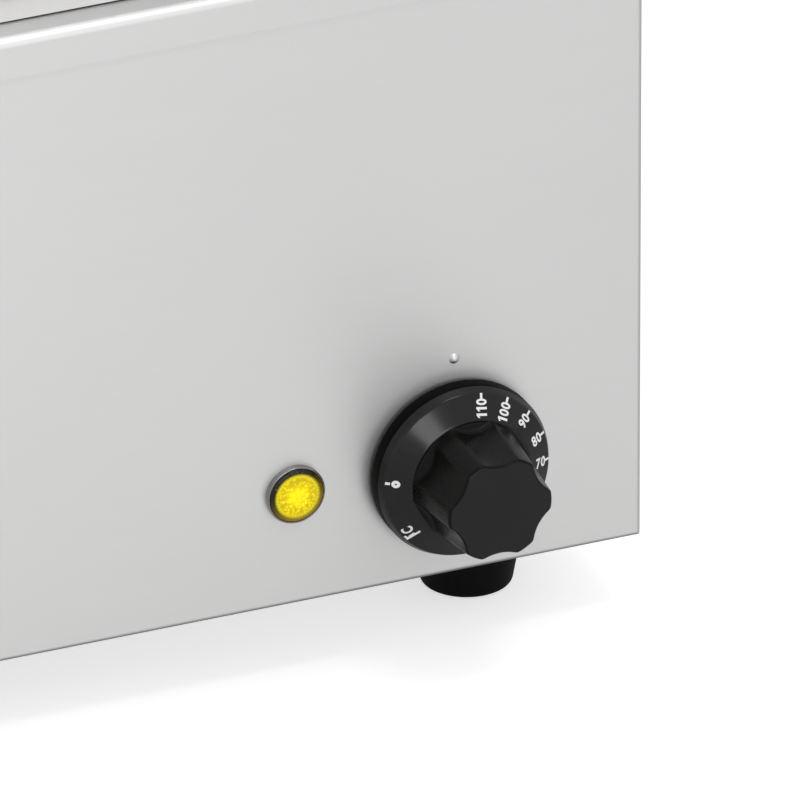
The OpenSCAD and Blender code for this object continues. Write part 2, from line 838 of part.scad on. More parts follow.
module capillary_bulb() {
  port = front_y + sheet_t + plate_t + switch_l + tube_gap;
  bulb_end = bulb_x + bulb_l;
  cap_r = 0.9;
  straight = 24;
  turn_x = run_l / 2;
  turn_y = pans_y - straight;
  dip = 22;
  color(brass) {
    placed() translate([bulb_x, pans_y, bulb_z]) rotate([0, 90, 0]) cylinder(h = bulb_l, r = bulb_d / 2);
    placed() swept_tube([
      [bulb_end - over, pans_y, bulb_z],
      [bulb_end + straight, pans_y, bulb_z],
      [turn_x - straight, pans_y, bulb_z - dip / 2],
      [turn_x, turn_y, bulb_z - dip],
      [(turn_x + knob_x) / 2, (pans_y + port) / 2, (bulb_z - dip + control_z) / 2],
      [knob_x, port + straight, control_z],
      [knob_x, port, control_z]
    ], cap_r, [0.1, 0.2, 1]);
  }
}

module bulb_clip() {
  inner = bulb_d / 2 + clip_play;
  outer = inner + sheet_t;
  color(steel) placed() translate([bulb_x + bulb_l / 2, pans_y, well_z]) difference() {
    union() {
      translate([-clip_w / 2, -outer - clip_foot, -sheet_t]) cube([clip_w, 2 * (outer + clip_foot), sheet_t]);
      translate([-clip_w / 2, -outer, -bulb_d / 2]) cube([clip_w, 2 * outer, bulb_d / 2]);
      translate([-clip_w / 2, 0, bulb_z - well_z]) rotate([0, 90, 0]) cylinder(h = clip_w, r = outer);
    }
    translate([-clip_w, 0, bulb_z - well_z]) rotate([0, 90, 0]) cylinder(h = 2 * clip_w, r = inner);
    translate([-clip_w, -inner, bulb_z - well_z]) cube([2 * clip_w, 2 * inner, bulb_d + over]);
    translate([-clip_w, -2 * outer, 0]) cube([2 * clip_w, 4 * outer, bulb_d]);
  }
}

// Indicator lamp

module lamp_bezel() {
  r = lamp_d / 2;
  color(bright_steel) on_front(lamp_x) difference() {
    rotate_extrude() polygon([
      [0, 0],
      [r + bezel_lip, 0],
      [r + bezel_lip, bezel_lip_h],
      [r, bezel_lip_h],
      [r, lamp_h - bezel_edge],
      [r - bezel_edge, lamp_h],
      [0, lamp_h]
    ]);
    translate([0, 0, bezel_floor]) cylinder(h = lamp_h, r = lens_r);
    translate([0, 0, -over]) cylinder(h = lamp_h, r = lamp_body_d / 2 + lens_gap);
  }
}

module lamp_lens() {
  r = lens_r - lens_gap;
  low = bezel_floor + lens_gap;
  top = lamp_h - lens_sink;
  color([0.95, 0.75, 0.05]) on_front(lamp_x)
    rotate_extrude() polygon([
      [0, low],
      [r, low],
      [r, top - lens_crown - lens_slope],
      [lens_face_d / 2, top - lens_crown],
      [0, top]
    ]);
}

module lamp_body() {
  color(black) on_front(lamp_x) {
    translate([0, 0, -lamp_body_l]) cylinder(h = lamp_body_l + bezel_floor, r = lamp_body_d / 2);
    for (s = [-1, 1])
      translate([s * lamp_blade_x - blade_t / 2, -blade_w / 2, -lamp_body_l - blade_l])
        cube([blade_t, blade_w, blade_l + eps]);
  }
}

module lamp_nut() {
  color(black) on_front(lamp_x) translate([0, 0, -sheet_t - lamp_nut_h])
    hex_nut(lamp_nut_flat, lamp_nut_h, lamp_body_d / 2 + thread_gap);
}

// Wiring

module terminal_block() {
  color([0.9, 0.9, 0.86]) placed() translate([block_x, block_y, base_z]) difference() {
    translate([-block_w / 2, -block_d / 2, 0]) cube([block_w, block_d, block_h]);
    for (k = [-1:1], s = [-1, 1])
      translate([k * block_w / 3, s * block_d / 4, block_h / 2]) cylinder(h = block_h, r = clamp_screw_r);
    for (k = [-0.5, 0.5])
      translate([k * block_w * 2 / 3, 0, -over]) cylinder(h = block_h + 2 * over, r = block_fixing_r);
  }
}

module earth_stud() {
  color(brass) placed() translate([earth_x, earth_y, base_z]) cylinder(h = earth_l, r = m5_shank);
}

module earth_nut() {
  color(brass) placed() translate([earth_x, earth_y, base_z]) hex_nut(m5_flat, m5_nut_h, m5_shank + thread_gap);
}

// Each wire leaves and meets its terminal square on, a lead's length before it turns
wire_r = 1.3;
wire_gap = 0.4;
wire_lead = 8;
wire_sag = 18;

module wire(points, side) {
  placed() swept_tube(points, wire_r, side);
}

module wiring() {
  out_y = block_y - block_d / 2 - wire_gap;
  out_z = base_z + block_h / 2;
  low_z = base_z + 3 * wire_r;
  blade_end_y = front_y + sheet_t + blade_y - blade_t / 2;
  blade_end_z = control_z - switch_h / 2 - blade_l - wire_gap;
  blade_lead = wire_lead - wire_r;
  pin_end_z = leg_z - bead_l - pin_l - wire_gap;
  pin_mid_z = leg_z - bead_l - pin_l * 2 / 3;
  near_y = pans_y - 1.5 * run_pitch;
  far_y = pans_y + 1.5 * run_pitch;
  lamp_end_y = front_y + lamp_body_l + blade_l + wire_gap;
  pin_side = lead_x - pin_r - wire_gap;
  block_pitch = block_w / 3;
  earth_side_x = earth_x + m5_shank + wire_gap;
  earth_tag_z = base_z + m5_nut_h + 2 * wire_lead / 3;
  color([0.75, 0.2, 0.15]) {
    wire([
      [block_x, out_y, out_z],
      [block_x, out_y - wire_lead, out_z],
      [block_x + wire_lead / 2, out_y - wire_lead - wire_sag, low_z + wire_r],
      [(block_x + knob_x) / 2, pans_y - run_pitch, low_z],
      [knob_x - blade_x - wire_r, blade_end_y + wire_sag, low_z],
      [knob_x - blade_x, blade_end_y, blade_end_z - blade_lead],
      [knob_x - blade_x, blade_end_y, blade_end_z]
    ], [1, 0.1, 0.2]);
    wire([
      [knob_x + blade_x, blade_end_y, blade_end_z],
      [knob_x + blade_x, blade_end_y, blade_end_z - blade_lead],
      [knob_x + 2 * blade_x, blade_end_y + wire_sag, low_z + wire_r],
      [lead_x + wire_sag, near_y - 2 * wire_sag, low_z + wire_lead],
      [lead_x + wire_lead, near_y - wire_lead, pin_end_z - wire_sag],
      [lead_x, near_y, pin_end_z - wire_lead],
      [lead_x, near_y, pin_end_z]
    ], [0.2, 1, 0.1]);
    wire([
      [block_x + block_pitch, out_y, out_z],
      [block_x + block_pitch, out_y - wire_lead, out_z],
      [block_x + 2 * block_pitch, out_y - wire_lead - wire_sag, out_z + wire_r],
      [lead_x - wire_lead, far_y + wire_lead, pin_end_z - wire_sag],
      [lead_x, far_y, pin_end_z - wire_lead],
      [lead_x, far_y, pin_end_z]
    ], [1, 0.1, 0.2]);
    wire([
      [lamp_x - lamp_blade_x, lamp_end_y, control_z],
      [lamp_x - lamp_blade_x, lamp_end_y + wire_lead, control_z],
      [(lamp_x + lead_x) / 2, near_y - wire_lead, control_z - wire_r],
      [pin_side - wire_lead, near_y, pin_mid_z],
      [pin_side, near_y, pin_mid_z]
    ], [0.1, 0.2, 1]);
    wire([
      [lamp_x + lamp_blade_x, lamp_end_y, control_z],
      [lamp_x + lamp_blade_x, lamp_end_y + wire_lead, control_z],
      [lamp_x + wire_lead, lamp_end_y + 2 * wire_sag, control_z - wire_sag],
      [lamp_x + 2 * wire_lead, pans_y, low_z + wire_lead],
      [pin_side - 2 * wire_sag, far_y - wire_lead, pin_mid_z - wire_lead],
      [pin_side - wire_lead, far_y, pin_mid_z],
      [pin_side, far_y, pin_mid_z]
    ], [0.1, 0.2, 1]);
    wire([
      [block_x - block_pitch, out_y, out_z],
      [block_x - block_pitch, out_y - wire_lead, out_z],
      [(block_x - block_pitch + earth_x) / 2, earth_y + wire_lead, earth_tag_z + wire_r],
      [earth_side_x + wire_lead, earth_y, earth_tag_z],
      [earth_side_x, earth_y, earth_tag_z]
    ], [0.1, 0.2, 1]);
  }
}

// Cable gland

module gland_body() {
  color(black) on_rear() difference() {
    union() {
      translate([0, 0, -gland_in]) cylinder(h = gland_in + eps, r = gland_d / 2);
      cylinder(h = gland_hex, r = gland_flat / 2 / cos(30), $fn = 6);
      cylinder(h = gland_hex + gland_neck, r = gland_d / 2);
    }
    translate([0, 0, -gland_in - over])
      cylinder(h = gland_in + gland_hex + over, r = cord_bore / 2 + cord_play);
    translate([0, 0, gland_hex - seal_sink])
      cylinder(h = seal_sink + gland_neck + over, r = seal_r + thread_gap);
  }
}

module gland_cap() {
  r = gland_flat / 2;
  flank = cap_l - cap_nose;
  color(black) on_rear() difference() {
    translate([0, 0, gland_hex + thread_gap]) {
      cylinder(h = flank, r = r / cos(30) - cap_corner, $fn = cap_flats);
      translate([0, 0, flank]) cylinder(h = cap_nose - thread_gap, r1 = r, r2 = r * cap_nose_share);
    }
    translate([0, 0, gland_hex - over])
      cylinder(h = over + gland_neck + over, r = gland_d / 2 + thread_gap);
    translate([0, 0, gland_hex]) cylinder(h = seal_l + seal_play, r = seal_r + thread_gap);
    translate([0, 0, gland_hex]) cylinder(h = cap_l + over, r = cord_bore / 2 + cap_mouth);
  }
}

module gland_seal() {
  color([0.15, 0.15, 0.15]) on_rear() translate([0, 0, gland_hex - seal_sink])
    washer(seal_r, seal_l, cord_bore / 2);
}

module gland_locknut() {
  color(black) on_rear() translate([0, 0, -sheet_t - locknut_h])
    hex_nut(gland_flat, locknut_h, gland_d / 2 + thread_gap);
}

// Feet

module foot() {
  top_r = foot_top_d / 2;
  low_r = foot_low_d / 2;
  lean = atan((top_r - low_r) / floor_z);
  round_x = low_r + foot_edge * tan(lean) - foot_edge / cos(lean);
  color(black) difference() {
    rotate_extrude() {
      polygon([
        [0, 0],
        [round_x, 0],
        [round_x + foot_edge * cos(lean), foot_edge - foot_edge * sin(lean)],
        [top_r, floor_z],
        [0, floor_z]
      ]);
      translate([round_x, foot_edge]) circle(foot_edge);
    }
    translate([0, 0, -over]) cylinder(h = recess_h + over, r = recess_r);
    cylinder(h = floor_z + over, r = m5_hole);
  }
}

module placed_foot(sx, sy) {
  placed() translate([sx * (body_w / 2 - foot_inset), sy * (body_d / 2 - foot_inset), 0]) foot();
}

module foot_front_left() {
  placed_foot(-1, -1);
}

module foot_front_right() {
  placed_foot(1, -1);
}

module foot_rear_left() {
  placed_foot(-1, 1);
}

module foot_rear_right() {
  placed_foot(1, 1);
}

module foot_washers() {
  color(bright_steel) at_feet() translate([0, 0, recess_h - foot_washer_t])
    washer(recess_r - foot_washer_gap, foot_washer_t, m5_hole);
}

module foot_screws() {
  head_z = recess_h - foot_washer_t;
  color(bright_steel) at_feet() translate([0, 0, head_z]) rotate([180, 0, 0])
    pan_screw(m5_shank, base_z + m5_nut_h + thread_end - head_z, m5_head_r, m5_head_h);
}

module foot_nuts() {
  color(bright_steel) at_feet() translate([0, 0, base_z]) hex_nut(m5_flat, m5_nut_h, m5_shank + thread_gap);
}

module base_screws() {
  color(bright_steel) at_base_screws() rotate([180, 0, 0])
    pan_screw(m4_shank, 2 * sheet_t + screw_l, m4_head_r, m4_head_h);
}

module rear_screws() {
  color(bright_steel) at_rear_screws() pan_screw(m4_shank, 2 * sheet_t + screw_l, m4_head_r, m4_head_h);
}

// Hinge, seen from the right: the profiles lie in y and z and are extruded along x

module along_x(l) {
  translate([-l / 2, 0, 0]) rotate([90, 0, 90]) linear_extrude(l) children();
}

module hinge_bracket(side) {
  wing = 2 * (ear_x + strap_t + bracket_wing);
  color(bright_steel) at_hinge(side) difference() {
    union() {
      translate([-wing / 2, -bracket_front, -pin_rise]) cube([wing, bracket_front + bracket_rear, strap_t]);
      for (s = [-1, 1])
        translate([s * (ear_x + strap_t / 2), 0, 0]) along_x(strap_t) {
          circle(ear_r);
          translate([-ear_r, -pin_rise]) square([2 * ear_r, pin_rise]);
        }
      translate([-eye_w / 2, stop_y, -pin_rise]) cube([eye_w, strap_t, stop_h]);
    }
    along_x(wing + 2 * over) circle(pin_d / 2 + turn_fit / 2);
    for (s = [-1, 1])
      translate([s * bracket_rivet_x, bracket_rivet_y, -pin_rise - over])
        cylinder(h = strap_t + 2 * over, r = rivet_r + thread_gap);
  }
}

module hinge_bracket_left() {
  hinge_bracket(-1);
}

module hinge_bracket_right() {
  hinge_bracket(1);
}

module bracket_rivets() {
  color(bright_steel)
    for (side = [-1, 1], s = [-1, 1])
      at_hinge(side) translate([s * bracket_rivet_x, bracket_rivet_y, -pin_rise - sheet_t])
        rivet(sheet_t + strap_t);
}

module hinge_pin(side) {
  half = ear_x + strap_t + side_fit;
  color(bright_steel) at_hinge(side) rotate([0, 90, 0]) {
    translate([0, 0, -half]) cylinder(h = 2 * half + pin_tail, r = pin_d / 2);
    translate([0, 0, -half - pin_head_h]) cylinder(h = pin_head_h + eps, r = pin_head_r);
  }
}

module hinge_pin_left() {
  hinge_pin(-1);
}

module hinge_pin_right() {
  hinge_pin(1);
}

module pin_clips() {
  color(black)
    for (side = [-1, 1])
      at_hinge(side) rotate([0, 90, 0]) translate([0, 0, ear_x + strap_t + side_fit])
        washer(pin_head_r, clip_t, pin_d / 2 + thread_gap);
}

// The strap folds from the lid's rear skirt back to the eye, with a lug that meets the bracket's stop
module hinge_strap(side) {
  pad_low = lid_z - pin_z + strap_low;
  pad_high = lid_z + lid_skirt - pin_z;
  color(bright_steel) at_hinge(side) difference() {
    along_x(eye_w) {
      translate([-pin_back, pad_low]) square([strap_t, pad_high - pad_low]);
      translate([-pin_back, -strap_t / 2]) square([pin_back, strap_t]);
      translate([-strap_t / 2, 0]) square([strap_t, lug_l]);
      circle(eye_d / 2);
    }
    along_x(eye_w + 2 * over) circle(pin_d / 2 + turn_fit);
    for (s = [-1, 1])
      translate([s * strap_rivet_x, -pin_back - over, strap_rivet_z - pin_z]) rotate([-90, 0, 0])
        cylinder(h = strap_t + 2 * over, r = rivet_r + thread_gap);
  }
}

module hinge_strap_left() {
  hinge_strap(-1);
}

module hinge_strap_right() {
  hinge_strap(1);
}

module at_strap_rivets() {
  for (side = [-1, 1], s = [-1, 1])
    placed() translate([side * hinge_x + s * strap_rivet_x, lid_rear - lid_t, strap_rivet_z])
      rotate([-90, 0, 0]) children();
}

module strap_rivets() {
  color(bright_steel) at_strap_rivets() rivet(lid_t + strap_t);
}

// Lid

// A straight skirt that runs into an elliptical shoulder and a flat top
module lid_form(w, d, low, skirt, rise) {
  shoulder = [for (a = [0:10:90]) [lid_run * (1 - cos(a)), skirt + rise * sin(a)]];
  loft([for (p = concat([[0, low]], shoulder))
    rounded_ring(w - 2 * p[0], d - 2 * p[0], lid_corner, p[1])]);
}

module lid_shell() {
  color(bright_steel) difference() {
    placed() translate([0, pans_y, lid_z]) difference() {
      lid_form(lid_w, lid_d, 0, lid_skirt, lid_rise);
      lid_form(lid_w - 2 * lid_t, lid_d - 2 * lid_t, -over, lid_skirt, lid_rise - lid_t);
    }
    at_handle_legs() translate([0, 0, lid_top - lid_t - over])
      cylinder(h = lid_t + 2 * over, r = handle_d / 2 + thread_gap);
    at_strap_rivets() translate([0, 0, -over]) cylinder(h = lid_t + 2 * over, r = rivet_r + thread_gap);
  }
}

module handle_rod() {
  r = handle_d / 2;
  leg = handle_h - handle_bend + rod_under;
  bar = handle_span - 2 * handle_bend;
  color(bright_steel) {
    at_handle_legs() translate([0, 0, lid_top - rod_under]) cylinder(h = leg, r = r);
    for (s = [-1, 1])
      placed() translate([s * (handle_span / 2 - handle_bend), handle_y, lid_top + handle_h - handle_bend])
        rotate([90, 0, s > 0 ? 0 : 180])
          rotate_extrude(angle = 90) translate([handle_bend, 0]) circle(r);
    placed() translate([-bar / 2, handle_y, lid_top + handle_h]) rotate([0, 90, 0]) cylinder(h = bar, r = r);
  }
}

module handle_sleeve() {
  inner = handle_d / 2 + thread_gap;
  outer = sleeve_d / 2;
  half = sleeve_l / 2;
  color(black) placed() translate([0, handle_y, lid_top + handle_h]) rotate([0, 90, 0])
    rotate_extrude() polygon([
      [inner, -half],
      [outer - sleeve_edge, -half],
      [outer - sleeve_crown, -half + sleeve_edge],
      [outer, -half + sleeve_taper],
      [outer, half - sleeve_taper],
      [outer - sleeve_crown, half - sleeve_edge],
      [outer - sleeve_edge, half],
      [inner, half]
    ]);
}

module handle_washers() {
  color(bright_steel) at_handle_legs()
    for (z = [lid_top, lid_top - lid_t - washer_t])
      translate([0, 0, z]) washer(washer_r, washer_t, handle_d / 2 + thread_gap);
}

module handle_nuts() {
  color(bright_steel) at_handle_legs() translate([0, 0, lid_top - lid_t - washer_t - handle_nut_h])
    hex_nut(handle_flat, handle_nut_h, handle_d / 2 + thread_gap);
}

// Knob

module grip_outline(r) {
  offset(r = lobe_edge, $fn = 32) offset(delta = -lobe_edge) difference() {
    circle(r);
    for (k = [0:lobe_n - 1])
      rotate(360 * (k + 0.5) / lobe_n) translate([r - flute_depth + flute_r, 0]) circle(flute_r);
  }
}

module d_shaft(r, l) {
  intersection() {
    cylinder(h = l, r = r);
    translate([-2 * r, -2 * r, 0]) cube([4 * r, 3 * r - spindle_flat, l]);
  }
}

module knob() {
  r = knob_d / 2;
  base_r = grip_r + grip_draft;
  main_h = grip_h - face_edge;
  color(black) on_front(knob_x) difference() {
    union() {
      rotate_extrude() polygon([
        [0, knob_gap],
        [r - rim_edge, knob_gap],
        [r, knob_gap + rim_edge],
        [r, dial_z],
        [r - bevel_w, crease_z],
        [base_r + grip_ledge, grip_z],
        [0, grip_z]
      ]);
      translate([0, 0, grip_z - eps]) linear_extrude(main_h + eps, scale = grip_r / base_r) grip_outline(base_r);
      translate([0, 0, grip_z + main_h - eps])
        linear_extrude(face_edge + eps, scale = (grip_r - face_edge) / grip_r) grip_outline(grip_r);
    }
    translate([0, 0, knob_gap - over]) difference() {
      cylinder(h = dial_rim + bevel_h - knob_wall + over, r = r - bevel_w - knob_wall);
      cylinder(h = dial_rim + bevel_h, r = hub_r);
    }
    translate([0, 0, knob_gap - over])
      d_shaft(spindle_d / 2 + turn_fit, bore_end + turn_fit - knob_gap + over);
  }
}

module spindle() {
  color(bright_steel) on_front(knob_x) {
    translate([0, 0, -spindle_seat]) cylinder(h = spindle_seat + knob_gap / 2, r = spindle_d / 2);
    d_shaft(spindle_d / 2, bore_end);
  }
}

casing();
rear_panel();
base_plate();
deck();
water_well();
adapter_bar();
pan_left();
pan_right();
heating_element();
element_terminals();
element_studs();
element_clamps();
element_nuts();
heat_shield();
thermostat();
thermostat_screws();
capillary_bulb();
bulb_clip();
overheat_cutout();
lamp_bezel();
lamp_lens();
lamp_body();
lamp_nut();
terminal_block();
earth_stud();
earth_nut();
wiring();
gland_body();
gland_cap();
gland_seal();
gland_locknut();
foot_front_left();
foot_front_right();
foot_rear_left();
foot_rear_right();
foot_washers();
foot_screws();
foot_nuts();
base_screws();
rear_screws();
hinge_bracket_left();
hinge_bracket_right();
hinge_pin_left();
hinge_pin_right();
pin_clips();
bracket_rivets();
lid_shell();
hinge_strap_left();
hinge_strap_right();
strap_rivets();
handle_rod();
handle_sleeve();
handle_washers();
handle_nuts();
knob();
spindle();
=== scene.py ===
import math

import bpy
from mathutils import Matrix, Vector


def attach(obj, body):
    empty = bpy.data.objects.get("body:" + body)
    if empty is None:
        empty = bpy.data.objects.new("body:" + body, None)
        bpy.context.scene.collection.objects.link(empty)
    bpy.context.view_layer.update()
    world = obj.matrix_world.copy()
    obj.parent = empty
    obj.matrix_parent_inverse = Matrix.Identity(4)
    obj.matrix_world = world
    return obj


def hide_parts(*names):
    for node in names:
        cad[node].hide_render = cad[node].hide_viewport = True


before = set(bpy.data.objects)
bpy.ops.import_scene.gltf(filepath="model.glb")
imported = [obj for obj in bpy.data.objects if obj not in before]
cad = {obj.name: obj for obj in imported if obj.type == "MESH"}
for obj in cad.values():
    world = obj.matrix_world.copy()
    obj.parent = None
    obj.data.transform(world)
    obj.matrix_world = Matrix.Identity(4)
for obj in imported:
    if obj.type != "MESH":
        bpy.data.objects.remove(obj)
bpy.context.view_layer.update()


# Casing, rear panel and base plate: stainless sheet of 0.8 mm, folded round the front corners and along
# every edge, with the back and the floor screwed to its flanges. The sheet is belt-ground, so a fine
# grain runs along each face and the satin smears reflections across it. The down-facing bends and the
# rounded upright corners are painted darker, as painted shade.
class Wire:
    """A socket in a node tree. Sums of wires are written as they read, and add their own nodes."""

    def __init__(self, tree, socket=None):
        self.tree, self.socket = tree, socket

    def node(self, kind, settings=None, inputs=None, out=0):
        made = self.tree.nodes.new(kind)
        for key, value in (settings or {}).items():
            if key == "stops":
                ramp = made.color_ramp.elements
                ramp.remove(ramp[1])
                for count, (place, shade) in enumerate(value):
                    stop = ramp.new(place) if count else ramp[0]
                    stop.position, stop.color = place, shade
            else:
                setattr(made, key, value)
        for key, value in (inputs or {}).items():
            for one in value if isinstance(value, list) else [value]:
                if isinstance(one, Wire):
                    self.tree.links.new(one.socket, made.inputs[key])
                else:
                    made.inputs[key].default_value = one
        return Wire(self.tree, made.outputs[out])

    def __getitem__(self, out):
        return Wire(self.tree, self.socket.node.outputs[out])

    def maths(self, operation, *values):
        return self.node("ShaderNodeMath", {"operation": operation}, dict(enumerate(values)))

    def __add__(self, other):
        return self.maths("ADD", self, other)

    def __radd__(self, other):
        return self.maths("ADD", other, self)

    def __sub__(self, other):
        return self.maths("SUBTRACT", self, other)

    def __rsub__(self, other):
        return self.maths("SUBTRACT", other, self)

    def __mul__(self, other):
        return self.maths("MULTIPLY", self, other)

    def __rmul__(self, other):
        return self.maths("MULTIPLY", other, self)

    def __truediv__(self, other):
        return self.maths("DIVIDE", self, other)

    def __rtruediv__(self, other):
        return self.maths("DIVIDE", other, self)

    def above(self, limit):
        return self.maths("GREATER_THAN", self, limit)

    def rise(self, low, high):
        """0 below low, 1 above high, eased between them."""
        return self.node("ShaderNodeMapRange", {"interpolation_type": "SMOOTHSTEP"},
                         {"Value": self, "From Min": low, "From Max": high})

    def tint(self, low, high):
        """The colour low where this is 0 and high where it is 1."""
        return self.node("ShaderNodeMix", {"data_type": "RGBA"}, {0: self, 6: low, 7: high}, 2)

    def noise(self, vector, scale, detail=2.0):
        return self.node("ShaderNodeTexNoise", None, {"Vector": vector, "Scale": scale, "Detail": detail})

    def bump(self, strength, distance):
        return self.node("ShaderNodeBump", None, {"Height": self, "Strength": strength, "Distance": distance})

    def into(self, shader, name):
        self.tree.links.new(self.socket, shader.inputs[name])


def finish(name, constants):
    made = bpy.data.materials.new(name)
    made.use_nodes = True
    shader = made.node_tree.nodes["Principled BSDF"]
    for socket, value in constants.items():
        shader.inputs[socket].default_value = value
    return made, Wire(made.node_tree), shader


def grey(level, warm=0.0):
    return (level * (1 + warm), level, level * (1 - warm), 1)


def grain(wire, lines, drift):
    """Ground lines from 0 to 1: level on upright faces, from side to side on flat ones."""
    place = wire.node("ShaderNodeTexCoord", out="Object")
    facing = wire.node("ShaderNodeTexCoord", out="Normal")
    x = wire.node("ShaderNodeSeparateXYZ", None, {0: place})
    turned_x = wire.node("ShaderNodeSeparateXYZ", None, {0: facing})
    side = turned_x.maths("ABSOLUTE", turned_x).above(0.7)
    flat = turned_x.maths("ABSOLUTE", turned_x[2]).above(0.7)
    along = x + side * (x[1] - x)
    across = x[2] + flat * (x[1] - x[2])
    path = wire.node("ShaderNodeCombineXYZ", None, {0: along * drift, 1: across * lines, 2: side * 5 + flat * 11})
    return wire.noise(path, 1.0, 3.0), place, turned_x


def ground_steel(name, level, rough, lines=1500.0, drift=14.0, anisotropic=0.5):
    made, wire, shader = finish(name, {
        "Metallic": 1.0, "Anisotropic": anisotropic, "Anisotropic Rotation": 0.25,
    })
    streak, place, turned_x = grain(wire, lines, drift)
    cloud = wire.noise(place, 7.0, 3.0)
    worn = (streak * 0.7 + cloud * 0.3).tint(grey(level - 0.02, 0.004), grey(level + 0.02, 0.004))
    # Painted shade: faces turned downwards at the bends, and the rounded corners between front and sides, are mixed
    # towards a dark grey.
    down = 0 - turned_x[2]
    painted_shade_below = down.rise(0.15, 0.6) * (1 - down.rise(0.93, 0.99)) * 0.75
    upright = wire.maths("ABSOLUTE", turned_x * turned_x[1]).rise(0.1, 0.45) * 0.3
    wire.maths("MAXIMUM", painted_shade_below, upright).tint(worn, grey(level * 0.2, 0.01)).into(shader, "Base Color")
    (rough - 0.05 + streak * 0.06 + cloud * 0.04).into(shader, "Roughness")
    streak.bump(0.03, 0.0003).into(shader, "Normal")
    return made


def coat(made, *names):
    for name in names:
        cad[name].data.materials.clear()
        cad[name].data.materials.append(made)


satin_steel = ground_steel("satin_steel", 0.70, 0.46)
coat(satin_steel, "casing", "rear_panel", "base_plate")


# Deck and water well: the deck is a shallow tray pressed over the casing, its edge turned down, and the
# well is drawn from the same stainless sheet and hangs under the deck's opening. Hard water leaves a
# dull band round the well.
coat(satin_steel, "deck")

well_steel, wire, shader = finish("well_steel", {"Metallic": 1.0})
streak, place = grain(wire, 500.0, 60.0)[:2]
height = wire.node("ShaderNodeSeparateXYZ", None, {0: place})[2]
wander = wire.noise(place, 26.0, 4.0)
band_top, band_foot = 0.191, 0.151
scale_band = (height + wander * 0.03).rise(band_top, band_foot)
(streak * 0.5 + scale_band * 0.5).tint(grey(0.60, 0.006), grey(0.52, 0.03)).into(shader, "Base Color")
(0.24 + streak * 0.08 + scale_band * 0.22).into(shader, "Roughness")
wander.bump(0.05, 0.0006).into(shader, "Normal")
coat(well_steel, "water_well")


# Food pans and adapter bar: half-size pans pressed from bright sheet, each with a flat rim, a short
# turned-down lip and drawn corners. They hang by their rims in the deck's opening, with the folded bar
# between them.
MM = 0.001


def rounded_ring(middle, width, depth, corner, level, flats=14):
    """A level outline with rounded corners, anticlockwise seen from above. Sizes in millimetres."""
    outline = []
    for quarter, (sx, sy) in enumerate(((1, 1), (-1, 1), (-1, -1), (1, -1))):
        for k in range(flats + 1):
            turn = math.pi / 2 * (quarter + k / flats)
            outline.append(Vector((
                middle[0] + sx * (width / 2 - corner) + corner * math.cos(turn),
                middle[1] + sy * (depth / 2 - corner) + corner * math.sin(turn),
                level)) * MM)
    return outline


def piece(name, points, faces, made, sharp=40):
    mesh = bpy.data.meshes.new(name)
    mesh.from_pydata(points, [], faces)
    mesh.materials.append(made)
    mesh.shade_smooth()
    mesh.set_sharp_from_angle(angle=math.radians(sharp))
    mesh.update()
    placed = bpy.data.objects.new(name, mesh)
    bpy.context.scene.collection.objects.link(placed)
    return placed


def pressed(name, rings, made):
    """A closed skin from the first outline, which faces down, to the last, which faces up."""
    n = len(rings[0])
    faces = [tuple(range(n - 1, -1, -1))]
    for i in range(len(rings) - 1):
        for k in range(n):
            a, b = i * n + k, i * n + (k + 1) % n
            faces.append((a, b, b + n, a + n))
    faces.append(tuple(range((len(rings) - 1) * n, len(rings) * n)))
    return piece(name, [p for ring in rings for p in ring], faces, made)


def arc(middle, radius, start, end, steps):
    return [(middle[0] + radius * math.cos(math.radians(start + (end - start) * k / steps)),
             middle[1] + radius * math.sin(math.radians(start + (end - start) * k / steps)))
            for k in range(steps + 1)]


bright_steel, wire, shader = finish("bright_steel", {"Metallic": 1.0})
place = wire.node("ShaderNodeTexCoord", out="Object")
draw_lines = (260, 260, 9)
pulled = wire.node("ShaderNodeVectorMath", {"operation": "MULTIPLY"}, {0: place, 1: draw_lines})
drawn = wire.noise(pulled, 1.0, 3.0)
cloud = wire.noise(place, 11.0, 3.0)
(drawn * 0.6 + cloud * 0.4).tint(grey(0.62, 0.006), grey(0.72, 0.004)).into(shader, "Base Color")
(0.15 + drawn * 0.06 + cloud * 0.07).into(shader, "Roughness")
drawn.bump(0.03, 0.0003).into(shader, "Normal")
coat(bright_steel, "adapter_bar")

pan_middle, rim_level = 132.5, 253.6
pan_body, pan_corner = (238, 298), 36
pan_rim, rim_corner = (264, 324), 14
pan_sheet, pan_depth, pan_draft, floor_round = 0.8, 100.0, 7.0, 14.0
for side, pan_name in ((-1, "pan_left"), (1, "pan_right")):
    middle = (side * pan_middle, -0.2)

    def body(draw_in, corner, level):
        wide, deep = (across - 2 * draw_in for across in pan_body)
        return rounded_ring(middle, wide, deep, corner, rim_level + level)

    def rim(draw_in, level):
        wide, deep = (across - 2 * draw_in for across in pan_rim)
        return rounded_ring(middle, wide, deep, rim_corner - draw_in, rim_level + level)

    rings = []
    for a in range(90, -1, -10):
        inset = pan_draft + floor_round * (1 - math.cos(math.radians(a)))
        lift = floor_round * (1 - math.sin(math.radians(a)))
        rings.append(body(inset, pan_corner - inset, lift - pan_depth))
    for out, up in arc((2.2, -3), 2.2, 180, 90, 5):
        rings.append(body(-out, pan_corner + out, up))
    rings += [rim(1.6 - x, y) for x, y in arc((0, -1.6), 0.8, 90, 0, 3)]
    rings += [rim(0.8, -2.8), rim(0.55, -3.0), rim(0.25, -3.0), rim(0, -2.8)]
    rings += [rim(1.6 - x, y) for x, y in arc((0, -1.6), 1.6, 0, 90, 5)]
    for out, up in arc((3, -3), 3, 90, 180, 6):
        rings.append(body(pan_sheet - out, pan_corner + out, up))
    for a in range(0, 91, 10):
        inset = pan_draft + floor_round * (1 - math.cos(math.radians(a)))
        rings.append(body(pan_sheet + inset, pan_corner - inset,
                          pan_sheet - pan_depth + floor_round * (1 - math.sin(math.radians(a)))))
    pan = pressed("food_" + pan_name, rings, bright_steel)
    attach(pan, "base")
    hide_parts(pan_name)


